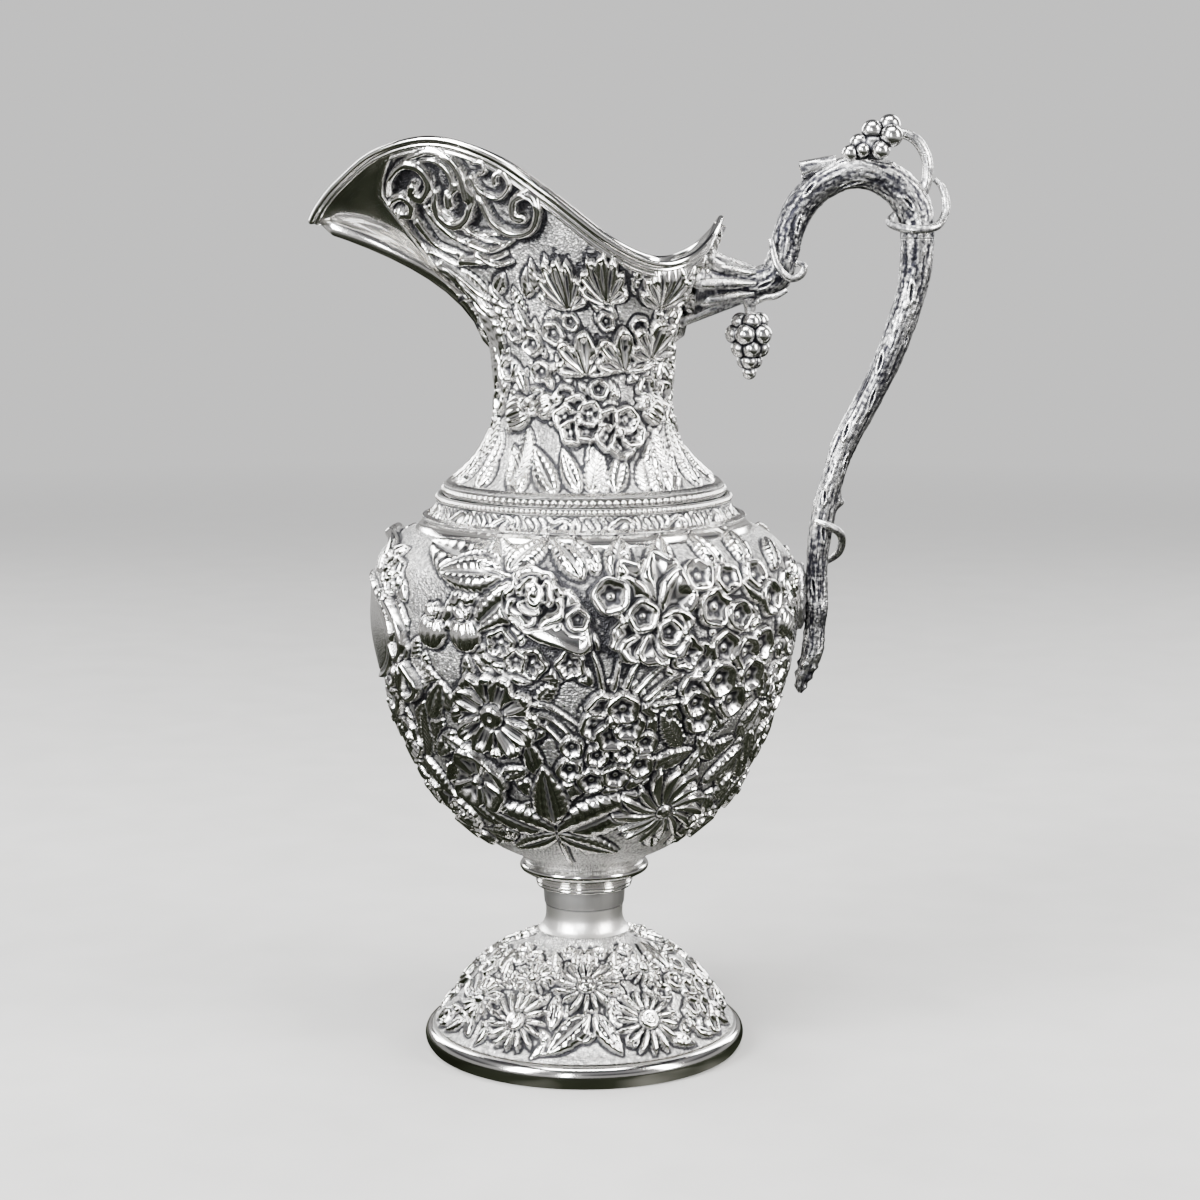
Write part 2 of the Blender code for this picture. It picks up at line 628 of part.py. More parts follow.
def twig_and_tendrils(branch_cutter):
    rise = BRANCH_X - LIP_REACH
    crown_x = LIP_REACH + 0.66 * rise
    crown_z = ROOT_Z + 40.0 * MM
    twig = [
        (crown_x - 18.4 * MM, 0.0, crown_z + 0.8 * MM, 1.1),
        (crown_x - 12.0 * MM, 0.0, crown_z + 2.3 * MM, 0.95),
        (crown_x - 5.6 * MM, 0.0, crown_z + 3.4 * MM, 0.95),
    ]
    stub = add_part("twig_stub", solid_tube_mesh("twig_stub", catmull(twig, 2), TWIG_R, 10), cast)
    cut(stub, branch_cutter)

    reach = BRANCH_R * 1.06 + GAP + TENDRIL_R + 0.4 * MM
    x0, z0 = BRANCH_X - 0.4 * MM, ROOT_Z + 19.5 * MM
    tendril("ring_tendril", [
        (x0 - 7.6 * MM, 0.75 * reach, z0 + 5.5 * MM, 0.7),
        (x0 - reach - 1.2 * MM, 0.0, z0 + 2.6 * MM, 1.0),
        (x0 - 0.75 * reach, -0.75 * reach, z0 + 0.6 * MM, 1.0),
        (x0, -reach - 0.3 * MM, z0, 1.0),
        (x0 + 0.75 * reach, -0.72 * reach, z0 + 1.2 * MM, 1.0),
        (x0 + reach + 1.4 * MM, -1.0 * MM, z0 + 5.6 * MM, 1.0),
        (x0 + reach + 1.9 * MM, 1.2 * MM, z0 + 10.6 * MM, 0.95),
        (x0 + reach + 0.4 * MM, 3.0 * MM, z0 + 15.4 * MM, 0.8),
        (x0 + reach - 2.0 * MM, 4.4 * MM, z0 + 18.0 * MM, 0.6),
    ])

    loop = [
        (BRANCH_X - 5.6 * MM, 0.0, crown_z + 14.0 * MM, 0.8),
        (BRANCH_X - 0.6 * MM, 0.0, crown_z + 11.2 * MM, 1.0),
        (BRANCH_X + 2.6 * MM, 0.0, crown_z + 5.4 * MM, 1.0),
        (BRANCH_X + 3.2 * MM, 0.0, crown_z - 1.0 * MM, 1.0),
        (BRANCH_X + 1.6 * MM, 0.0, crown_z - 7.5 * MM, 1.0),
    ]
    loop_mesh = solid_tube_mesh("grape_tendril", catmull(loop, 3), 1.35 * TENDRIL_R, 8)
    cut(add_part("grape_tendril", loop_mesh, cast), branch_cutter)

    clear = BRANCH_R + GAP + TENDRIL_R + 0.2 * MM
    elbow_x = LIP_REACH + 0.325 * rise
    elbow_z = ROOT_Z + 6.0 * MM
    tendril("curl_tendril", [
        (elbow_x - 5.2 * MM, -0.72 * clear, elbow_z + 10.0 * MM, 0.6),
        (elbow_x - 4.2 * MM, -0.9 * clear, elbow_z + 4.5 * MM, 0.85),
        (elbow_x - 2.4 * MM, -1.1 * clear, elbow_z - 0.6 * MM, 0.9),
        (elbow_x + 1.6 * MM, -1.06 * clear, elbow_z - 4.2 * MM, 0.9),
        (elbow_x + 5.6 * MM, -0.98 * clear, elbow_z - 3.0 * MM, 0.9),
        (elbow_x + 6.8 * MM, -1.0 * clear, elbow_z + 0.2 * MM, 0.85),
        (elbow_x + 3.8 * MM, -1.0 * clear, elbow_z + 1.6 * MM, 0.8),
    ])
    tendril("vine_tendril", [
        (elbow_x + 0.6 * MM, -1.12 * clear, elbow_z - 8.4 * MM, 0.6),
        (elbow_x - 3.4 * MM, -0.95 * clear, elbow_z - 10.6 * MM, 0.8),
        (elbow_x - 7.6 * MM, -0.84 * clear, elbow_z - 11.2 * MM, 0.8),
        (elbow_x - 11.0 * MM, -0.66 * clear, elbow_z - 13.4 * MM, 0.7),
    ])

    low = SHAFT_R + GAP + TENDRIL_R + 0.3 * MM
    x1 = BODY_R + GAP + PAD_T + GAP + SHAFT_R + 1.5 * MM
    z1 = BELLY_Z + 22.0 * MM
    tendril("lower_tendril", [
        (x1 - 2.6 * MM, -0.95 * low, z1 + 8.0 * MM, 0.6),
        (x1 + 1.6 * MM, -1.1 * low, z1 + 6.4 * MM, 0.9),
        (x1 + low - 0.2 * MM, -0.75 * low, z1 + 3.6 * MM, 1.0),
        (x1 + low + 1.6 * MM, 0.0, z1, 1.0),
        (x1 + low + 0.8 * MM, 0.45 * low, z1 - 5.0 * MM, 0.95),
        (x1 + 0.5 * low, 1.05 * low, z1 - 9.0 * MM, 0.7),
    ])


# ---------------------------------------------------------------- assembly
def place_on_origin():
    """Moves everything so that the origin is under the middle of spout tip and ring tendril."""
    spout_end = -(SPOUT_REACH + MOUTH_RIM_R)
    ring_end = BRANCH_X - 0.4 * MM + BRANCH_R * 1.06 + GAP + 2 * TENDRIL_R + 2.3 * MM
    axis = bpy.data.objects.new("pitcher_axis", None)
    PARTS.objects.link(axis)
    axis.location.x = -(spout_end + ring_end) / 2
    for obj in [*PARTS.objects, *CUTTERS.objects]:
        if obj is not axis:
            obj.parent = axis


foot()
body()
beads()
neck()
BRANCH_CUTTER = handle_branch()
handle_pad()
top_grapes(BRANCH_CUTTER)
hanging_grapes()
twig_and_tendrils(BRANCH_CUTTER)
place_on_origin()
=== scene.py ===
"""Looks of the silver water pitcher: chased relief, cast grapevine handle, polished mouldings.

Lengths in the functions are in millimetres; meshes are made in metres. Azimuths are in degrees,
0 at the front (-Y), growing towards the handle (+X).
"""
import math

import bpy
import numpy as np
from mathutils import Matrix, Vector


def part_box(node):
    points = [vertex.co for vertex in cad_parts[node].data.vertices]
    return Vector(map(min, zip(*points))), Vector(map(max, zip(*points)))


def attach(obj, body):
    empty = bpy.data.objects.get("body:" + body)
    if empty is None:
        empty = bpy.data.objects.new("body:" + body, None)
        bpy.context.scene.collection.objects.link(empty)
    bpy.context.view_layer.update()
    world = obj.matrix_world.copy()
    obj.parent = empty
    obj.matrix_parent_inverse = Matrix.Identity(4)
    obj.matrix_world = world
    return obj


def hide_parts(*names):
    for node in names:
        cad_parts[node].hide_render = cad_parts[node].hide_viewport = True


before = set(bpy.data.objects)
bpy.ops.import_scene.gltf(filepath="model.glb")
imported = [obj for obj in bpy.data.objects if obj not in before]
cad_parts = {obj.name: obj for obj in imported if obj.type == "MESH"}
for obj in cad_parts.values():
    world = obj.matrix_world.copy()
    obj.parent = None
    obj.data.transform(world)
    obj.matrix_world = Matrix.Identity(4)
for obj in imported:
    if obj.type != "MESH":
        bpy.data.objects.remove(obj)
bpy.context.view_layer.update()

MM = 0.001
RNG = np.random.default_rng(7)


def box_mm(node):
    low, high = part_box(node)
    return np.array(low) / MM, np.array(high) / MM


# ---------------------------------------------------------------- frame measures
FOOT_LOW, FOOT_HIGH = box_mm("foot_rim")
AXIS_X = (FOOT_LOW[0] + FOOT_HIGH[0]) / 2
FOOT_R = (FOOT_HIGH[0] - FOOT_LOW[0]) / 2
FOOT_RIM_W = 6.8
DOME_LOW, DOME_HIGH = box_mm("foot_dome")
STEM_LOW, STEM_HIGH = box_mm("foot_stem")
STEM_R = (STEM_HIGH[0] - STEM_LOW[0]) / 2 / 1.05  # its top is flared
FILLET_LOW, FILLET_HIGH = box_mm("stem_fillet")
KNOP_LOW, KNOP_HIGH = box_mm("knop_ring")
BODY_LOW, BODY_HIGH = box_mm("body_shell")
BAND_LOW, BAND_HIGH = box_mm("shoulder_band")
NECK_LOW = box_mm("neck_shell")[0]
BODY_R = (BODY_HIGH[0] - BODY_LOW[0]) / 2
BODY_H = BODY_HIGH[2] - BODY_LOW[2]
SHOULDER_R = (BAND_HIGH[0] - BAND_LOW[0]) / 2
CELL = 0.40  # spacing of the relief grids
WALL = 1.2
RELIEF_ROOM = 1.2  # how much deeper the inner wall lies behind the chased ground
EDGE = 0.45  # width over which a motif's outline blends into what lies below


# ---------------------------------------------------------------- small maths
def catmull(points, per_span):
    """A smooth curve through the points, as an array."""
    p = np.array([points[0], *points, points[-1]], float)
    t = np.linspace(0, 1, per_span, endpoint=False)[:, None]
    out = []
    for a, b, c, d in zip(p, p[1:], p[2:], p[3:]):
        out.append(0.5 * (2 * b + (c - a) * t + (2 * a - 5 * b + 4 * c - d) * t**2
                          + (3 * b - a - 3 * c + d) * t**3))
    out.append(p[-1][None])
    return np.concatenate(out)


def resample(curve, spacing):
    """Points at even spacing along a curve; every column is interpolated."""
    steps = np.linalg.norm(np.diff(curve[:, :3], axis=0), axis=1)
    along = np.concatenate([[0], np.cumsum(steps)])
    count = max(2, int(round(along[-1] / spacing)) + 1)
    wanted = np.linspace(0, along[-1], count)
    return np.stack([np.interp(wanted, along, curve[:, k]) for k in range(curve.shape[1])], axis=1)


def bump(x, width):
    return np.exp(-((x / width) ** 2))


def box_blur(a, cells, axis, wrap):
    """A running mean over an odd number of cells."""
    pad = [(0, 0), (0, 0)]
    pad[axis] = (cells // 2 + 1, cells // 2)
    s = np.cumsum(np.pad(a, pad, mode="wrap" if wrap else "edge"), axis=axis)
    n = a.shape[axis]
    high = np.take(s, np.arange(cells, cells + n), axis=axis)
    low = np.take(s, np.arange(0, n), axis=axis)
    return (high - low) / cells


def blur(a, radius):
    """A soft blur of a grid that is closed along its rows, with a radius in millimetres."""
    cells = max(1, int(round(radius / CELL))) * 2 + 1
    for _ in range(2):
        a = box_blur(box_blur(a, cells, 1, True), cells, 0, False)
    return a


def lattice_noise(shape, cell_rows, cell_cols, rng):
    """Smooth random heights in -1..1, closed along the rows."""
    rows = max(2, int(shape[0] / cell_rows) + 2)
    cols = max(3, int(shape[1] / cell_cols))
    knots = rng.uniform(-1, 1, (rows, cols))
    v = np.linspace(0, rows - 1.001, shape[0])
    u = np.arange(shape[1]) * cols / shape[1]
    vi, ui = v.astype(int), u.astype(int)
    fv, fu = (v - vi)[:, None], (u - ui)[None, :]
    fv, fu = fv * fv * (3 - 2 * fv), fu * fu * (3 - 2 * fu)
    a, b = knots[vi][:, ui % cols], knots[vi][:, (ui + 1) % cols]
    c, d = knots[vi + 1][:, ui % cols], knots[vi + 1][:, (ui + 1) % cols]
    return (a * (1 - fu) + b * fu) * (1 - fv) + (c * (1 - fu) + d * fu) * fv


# ---------------------------------------------------------------- relief sheets
class Relief:
    """Chased height over a grid of points that is closed round its rows.

    A motif is a function of local (x, y) in mm, x round the sheet and y up it. It gives its
    height and how far inside its outline each point lies.
    """

    def __init__(self, points):
        self.points = points
        step = np.linalg.norm(np.roll(points, -1, axis=1) - points, axis=2)
        self.around = np.cumsum(step, axis=1) - step
        self.girth = step.sum(axis=1)
        rise = np.linalg.norm(np.diff(points, axis=0), axis=2)
        self.up = np.concatenate([np.zeros((1, points.shape[1])), np.cumsum(rise, axis=0)])
        self.h = np.zeros(points.shape[:2])
        self.shine = np.zeros(points.shape[:2])

    def find(self, azimuth, height):
        """Row and column of the point at this azimuth and height."""
        angle = math.radians(azimuth - 90)
        flat = np.arctan2(self.points[:, :, 1], self.points[:, :, 0])
        miss = np.abs(np.angle(np.exp(1j * (flat - angle)))) * 60
        return np.unravel_index(np.argmin(miss + np.abs(self.points[:, :, 2] - height)), miss.shape)

    def find_side(self, x, z, side):
        """Row and column of the point seen at (x, z) from the front, side -1, or the back, side 1."""
        miss = np.abs(self.points[:, :, 0] - x) + np.abs(self.points[:, :, 2] - z)
        miss = miss + 1e3 * (self.points[:, :, 1] * side < -0.5)
        return np.unravel_index(np.argmin(miss), miss.shape)

    def window(self, row, col, reach):
        rows = np.where(np.abs(self.up[:, col] - self.up[row, col]) <= reach)[0]
        mean_step = self.girth[rows].mean() / self.h.shape[1]
        half = min(int(1.25 * reach / mean_step) + 2, self.h.shape[1] // 2 - 1)
        shift = col + np.arange(-half, half + 1)
        cols = shift % self.h.shape[1]
        x = self.around[rows][:, cols] - self.around[rows, col][:, None]
        x = x + (shift // self.h.shape[1])[None, :] * self.girth[rows][:, None]
        y = self.up[rows][:, cols] - self.up[row, col]
        return np.ix_(rows, cols), x, y

    def stamp(self, place, reach, motif, turn=0.0, shine=1.0):
        row, col = place
        area, x, y = self.window(row, col, reach)
        a = math.radians(turn)
        c, s = math.cos(a), math.sin(a)
        x, y = x * c + y * s, -x * s + y * c
        height, inside = motif(x, y)
        edge = np.clip(inside / EDGE + 0.5, 0, 1)
        groove = 0.75 * bump(inside + 0.6, 0.5)  # chased round the outline
        old = self.h[area] - groove
        self.h[area] = old * (1 - edge) + height * edge
        self.shine[area] = self.shine[area] * (1 - edge) + shine * edge

    def local(self, ref, place):
        """Place as local (x, y) about ref."""
        row, col = place
        x = self.around[row, col] - self.around[row, ref[1]]
        girth = self.girth[row]
        x = (x + girth / 2) % girth - girth / 2
        return x, self.up[row, col] - self.up[ref[0], ref[1]]

    def finish(self, stipple, low, high):
        """Stipples the ground, softens the relief and clamps it, and works out the tarnish with painted
        shade: oxide on the chased ground, painted shade in the hollows and deep recesses, lighter on the
        crests.
        """
        ground = 1 - self.shine
        fine = lattice_noise(self.h.shape, 0.9 / CELL, 0.9 / CELL, RNG)
        self.h = self.h + stipple * ground * fine + 0.05 * lattice_noise(self.h.shape, 8 / CELL, 8 / CELL,
                RNG)
        self.h = box_blur(box_blur(self.h, 3, 1, True), 3, 0, False) * 0.5 + self.h * 0.5
        fine_reach, wide_reach = 1.2, 4.5
        hollow = np.clip((blur(self.h, fine_reach) - self.h) / 0.45, -0.7, 1.8)
        deep = np.clip((blur(self.h, wide_reach) - self.h) / 1.5, -0.5, 1.0)
        # oxide darkens the chased ground; painted shade darkens the hollows and deep recesses, and the crests
        # come out lighter
        tarnish_and_shade = 0.06 + 0.44 * ground + 0.80 * hollow + 0.60 * deep
        to_edge = np.minimum(self.up, self.up[-1][None, :] - self.up)
        flat_edge = 4.0  # the relief dies out towards the sheet's seams
        self.h = np.clip(self.h, low, high) * np.clip(to_edge / flat_edge, 0, 1)
        return np.clip(tarnish_and_shade, 0, 1)


def face_normals(points):
    """Outward unit normals of a grid that is closed round its rows."""
    around = np.roll(points, -1, axis=1) - np.roll(points, 1, axis=1)
    up = np.gradient(points, axis=0)
    n = np.cross(around, up)
    return n / np.maximum(np.linalg.norm(n, axis=2, keepdims=True), 1e-9)


def grid_faces(rows, cols, start=0, looped=False):
    """Faces of a grid that is closed round its rows, and from its last row to its first if looped."""
    r = np.arange(rows if looped else rows - 1)[:, None]
    c = np.arange(cols)[None, :]
    d = (c + 1) % cols
    after = (r + 1) % rows
    quad = np.stack([r * cols + c, r * cols + d, after * cols + d, after * cols + c], axis=-1)
    return quad.reshape(-1, 4) + start


def revolve(rows, columns):
    """Points of a turned face, from its (radius, height) rows."""
    a = np.arange(columns) * math.tau / columns
    r, z = rows[:, 0][:, None], rows[:, 1][:, None]
    return np.stack([r * np.cos(a), r * np.sin(a), z * np.ones_like(a)], axis=-1)


def make_mesh(name, verts, quads, attributes=None, triangles=None):
    """A smooth mesh from arrays in mm, at the pitcher's place in the frame."""
    mesh = bpy.data.meshes.new(name)
    verts = np.asarray(verts, float).reshape(-1, 3)
    corners = [quads.reshape(-1)]
    totals = [np.full(len(quads), 4)]
    if triangles is not None:
        corners.append(triangles.reshape(-1))
        totals.append(np.full(len(triangles), 3))
    corners, totals = np.concatenate(corners), np.concatenate(totals)
    mesh.vertices.add(len(verts))
    mesh.vertices.foreach_set("co", ((verts + [AXIS_X, 0, 0]) * MM).astype(np.float32).reshape(-1))
    mesh.loops.add(len(corners))
    mesh.loops.foreach_set("vertex_index", corners.astype(np.int32))
    mesh.polygons.add(len(totals))
    starts = np.concatenate([[0], np.cumsum(totals)[:-1]])
    mesh.polygons.foreach_set("loop_start", starts.astype(np.int32))
    mesh.update(calc_edges=True)
    mesh.validate()
    for key, values in (attributes or {}).items():
        layer = mesh.attributes.new(key, "FLOAT", "POINT")
        layer.data.foreach_set("value", np.asarray(values, np.float32).reshape(-1))
    mesh.shade_smooth()
    obj = bpy.data.objects.new(name, mesh)
    bpy.context.scene.collection.objects.link(obj)
    return obj


def piece(obj, material, slot, *nodes):
    """Gives a piece its finish, lets it ride on the pitcher, and hides the solids it stands for."""
    obj.data.materials.append(material)
    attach(obj, "root")
    if nodes:
        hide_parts(*nodes)
    return obj


def sheet_piece(name, relief, tarnish_and_shade, close_bottom):
    """The chased outer face with a smooth inner wall, as one closed skin."""
    rows, cols = relief.h.shape
    normals = face_normals(relief.points)
    outer = relief.points + normals * relief.h[:, :, None]
    picks = np.unique(np.linspace(0, rows - 1, max(12, rows // 14)).astype(int))
    inner = (relief.points - normals * (WALL + RELIEF_ROOM))[picks[::-1]]
    inner[:, :, 2] = np.clip(inner[:, :, 2], relief.points[0, :, 2].min(), relief.points[:, :, 2].max())
    verts = [outer.reshape(-1, 3), inner.reshape(-1, 3)]
    total = rows + len(picks)
    quads = [grid_faces(total, cols)]
    triangles = None
    if close_bottom:
        count = total * cols
        ring = np.arange(cols)
        after = (ring + 1) % cols
        last = (total - 1) * cols
        low = outer[0, :, 2].mean()
        verts.append(np.array([[0, 0, low], [0, 0, low + WALL]]))
        under = np.stack([np.full(cols, count), after, ring], axis=1)
        floor = np.stack([np.full(cols, count + 1), last + ring, last + after], axis=1)
        triangles = np.concatenate([under, floor])
    else:
        first, last = np.arange(cols), (total - 1) * cols + np.arange(cols)
        quads.append(np.stack([last, np.roll(last, -1), np.roll(first, -1), first], axis=1))
    verts = np.concatenate(verts)
    extra = len(verts) - rows * cols
    attributes = {
        "tarnish_and_shade": np.concatenate([tarnish_and_shade.reshape(-1), np.full(extra, 0.05)]),
        "ground": np.concatenate([1 - relief.shine.reshape(-1), np.zeros(extra)]),
    }
    return make_mesh(name, verts, np.concatenate(quads), attributes, triangles)


# ---------------------------------------------------------------- motifs
def closed_ends(inside, x, y, length):
    """Depth inside an outline that stops at its foot and at its tip."""
    beyond = np.maximum(-y, y - length)
    return np.where(beyond > 0, -np.hypot(x, beyond), inside)


def leaf(length, width, teeth=9, crown=1.5, low=0.7):
    """A serrated leaf from its stalk at the origin to its tip at +y, with chased veins."""
    teeth = min(teeth, length / 2.2)
    crown = min(crown, 0.16 * width)

    def motif(x, y):
        t = y / length
        body = np.sin(np.pi * np.clip(t, 0, 1) ** 0.8) ** 0.75
        saw = 1 - 0.11 * ((t * teeth + np.abs(x) / width) % 1.0)
        half = np.maximum(0.5 * width * body * saw, 0.02)
        inside = np.minimum(half - np.abs(x), np.minimum(y, length - y) * 0.6 + 0.1)
        q = np.clip(np.abs(x) / half, 0, 1)
        veins = np.cos(2 * np.pi * (t * teeth * 0.9 - 0.75 * np.abs(x) / width * 2))
        pillow = 1 - 0.85 * (2 * q - 0.9) ** 2
        height = low + crown * pillow * (0.4 + 0.6 * body) + 0.06 * veins * (q > 0.08)
        return height + 0.30 * bump(x, 0.35) * (1 - t), closed_ends(inside, x, y, length)
    return motif


def frond(length, width, low=0.4, crown=0.5):
    """A feathery frond: slanting leaflets on both sides of a stalk."""
    def motif(x, y):
        t = np.clip(y / length, 0, 1)
        comb = 0.5 + 0.5 * np.cos(math.tau * (y - 0.9 * np.abs(x)) / 2.3)
        half = np.maximum(0.5 * width * np.sin(np.pi * t**0.8) ** 0.6 * (0.75 + 0.25 * comb), 0.02)
        inside = np.minimum(half - np.abs(x), np.minimum(y, length - y) * 0.6 + 0.1)
        q = np.clip(np.abs(x) / half, 0, 1)
        return low + crown * (0.15 + 0.85 * comb**0.7) * (1 - 0.6 * q * q) + 0.3 * bump(x,
                0.4), closed_ends(inside, x, y, length)
    return motif


def rays(radius, petals, heart=0.24, low=1.0, curl=0.0, ragged=0.16, width=0.8, crown=1.3):
    """An aster or spider flower: narrow separate petals round a boss."""
    lengths = RNG.uniform(1 - ragged, 1, petals)

    def motif(x, y):
        r = np.hypot(x, y)
        share = (np.arctan2(y, x) + curl * r / radius) * petals / math.tau
        number = np.floor(share).astype(int) % petals
        f = share - np.floor(share) - 0.5
        reach = radius * lengths[number]
        q = np.clip(r / reach, 0, 1)
        half = width * math.pi * r / petals * np.clip((1 - q**4), 0, 1) + 0.05
        aside = np.abs(f) * math.tau * r / petals
        inside = np.minimum(half - aside, reach - r)
        height = low + crown * (0.5 + 0.5 * q) * np.sqrt(np.clip(1 - (aside / half) ** 2, 0,
                1)) - 0.3 * bump(aside, 0.25)
        boss = heart * radius
        disc = r < boss
        rings = 0.3 * np.cos(r * 4.2)
        inside = np.where(disc, np.maximum(inside, boss - r + 0.5), inside)
        height = np.where(disc, low + 0.5 + 1.1 * np.sqrt(np.clip(1 - (r / boss) ** 2, 0, 1)) + rings, height)
        return height - 0.9 * bump(r - boss, 0.35), inside
    return motif


def bud(width, length, ribs=4, low=0.6, rise=2.4):
    """A ribbed round bud with a crown of sepals at its top."""
    def motif(x, y):
        rho = np.hypot(x / (0.5 * width), y / (0.5 * length))
        inside = (1 - rho) * 0.5 * min(width, length)
        dome = np.sqrt(np.clip(1 - rho**2, 0, 1))
        spread = np.clip(x / (0.5 * width * np.maximum(dome, 0.3)), -1, 1)
        return low + rise * dome + 0.28 * np.cos(np.pi * ribs * spread) * dome, inside
    return motif


def stroke(points, start_w, end_w, low=0.6, crown=1.0, groove=0.0):
    """A half-round line along local points, tapering from one half-width to the other."""
    path = catmull(points, 6)

    def motif(x, y):
        best = np.full(x.shape, 1e9)
        at = np.zeros(x.shape)
        for i in range(len(path) - 1):
            a, b = path[i], path[i + 1]
            d = b - a
            t = np.clip(((x - a[0]) * d[0] + (y - a[1]) * d[1]) / max(d @ d, 1e-9), 0, 1)
            dist = np.hypot(x - a[0] - t * d[0], y - a[1] - t * d[1])
            closer = dist < best
            best = np.where(closer, dist, best)
            at = np.where(closer, (i + t) / (len(path) - 1), at)
        half = start_w + (end_w - start_w) * at
        q = np.clip(best / half, 0, 1)
        height = low + crown * half * np.sqrt(1 - 0.85 * q**2) - groove * bump(best, 0.45 * half)
        return height, half - best
    return motif


def shifted(motif, dx, dy, turn):
    """The same motif moved to (dx, dy) and turned, in local measures."""
    a = math.radians(turn)
    c, s = math.cos(a), math.sin(a)

    def moved(x, y):
        x, y = x - dx, y - dy
        return motif(x * c + y * s, -x * s + y * c)
    return moved


def petal(length, width, low=1.0, rim=1.3, cup=1.3, lift=1.2, waves=0.05, ribs=0.0):
    """One cupped petal from its foot at the origin to its rolled tip at +y."""
    phase = RNG.uniform(0, math.tau, 2)

    def motif(x, y):
        ripple = 1 + waves * (np.sin(5.5 * x / width + phase[0]) + 0.6 * np.sin(11.0 * x / width + phase[1]))
        t = y / (length * ripple)
        grow = np.clip(t / 0.6, 0, 1) ** 0.75
        close = np.sqrt(np.clip(1 - ((t - 0.6) / 0.4) ** 2, 0, 1))
        half = 0.5 * width * np.where(t < 0.6, grow, close) * (1 + waves * np.sin(6 * t + phase[1])) + 0.02
        m = np.abs(x) / half
        inside = np.minimum((1 - m) * 0.45 * width, (1 - t) * 0.7 * length)
        spread = np.clip(t, 0, 1)
        edge_w = 0.4 + 0.06 * length
        roll = np.sqrt(np.clip(1 - (1 - inside / edge_w) ** 2, 0, 1))
        fall = np.clip((inside - edge_w) / (0.30 * width), 0, 1)
        roll = np.where(inside < edge_w, roll, 1 - fall * fall * (3 - 2 * fall))
        open_up = np.clip(2 * t - 0.1, 0, 1)
        height = low + lift * spread + rim * roll * open_up - cup * (1 - roll) * open_up
        height = height + ribs * np.cos(26.0 * x / width) * spread * (1.1 - spread) * 2
        return height, closed_ends(inside, x, y, 1.1 * length)
    return motif


def bowl(radius, low=1.0, rim=1.0, depth=1.3, lobes=5, depth_of_lobe=0.04):
    """A round ruffled cup with a thin rolled rim and a glint of a stamen in it."""
    phase = RNG.uniform(0, math.tau)

    def motif(x, y):
        r = np.hypot(x, y)
        edge = radius * (1 + depth_of_lobe * np.cos(lobes * np.arctan2(y, x) + phase))
        inside = edge - r
        edge_w = 0.35 + 0.08 * radius
        roll = np.sqrt(np.clip(1 - (1 - inside / edge_w) ** 2, 0, 1))
        fall = np.clip((inside - edge_w) / (0.62 * radius), 0, 1)
        roll = np.where(inside < edge_w, roll, 1 - fall * fall * (3 - 2 * fall))
        return low + rim * roll - depth * (1 - roll) + 0.7 * bump(r, 0.22 * radius), inside
    return motif


def boss(radius, low=1.6, rise=1.2, rings=0.25):
    """The ringed and pricked middle of a daisy."""
    def motif(x, y):
        r = np.hypot(x, y)
        q = np.clip(r / radius, 0, 1)
        pricks = np.cos(r * 4.6) * (0.6 + 0.4 * np.cos(np.arctan2(y, x) * 16))
        dome = low + rise * np.sqrt(np.clip(1 - q**2, 0, 1)) - 0.7 * bump(q, 0.3)
        return dome + rings * pricks, radius - r
    return motif


def oval(width, height_mm, level=0.9):
    """A plain reserve with a double engraved line inside its edge."""
    def motif(x, y):
        m = np.hypot(x / (0.5 * width), y / (0.5 * height_mm))
        inside = (1 - m) * 0.5 * min(width, height_mm)
        lines = bump(inside - 1.6, 0.28) + 0.7 * bump(inside - 2.8, 0.22)
        return level + 0.9 * bump(inside - 0.5, 0.6) - 0.30 * lines, inside
    return motif


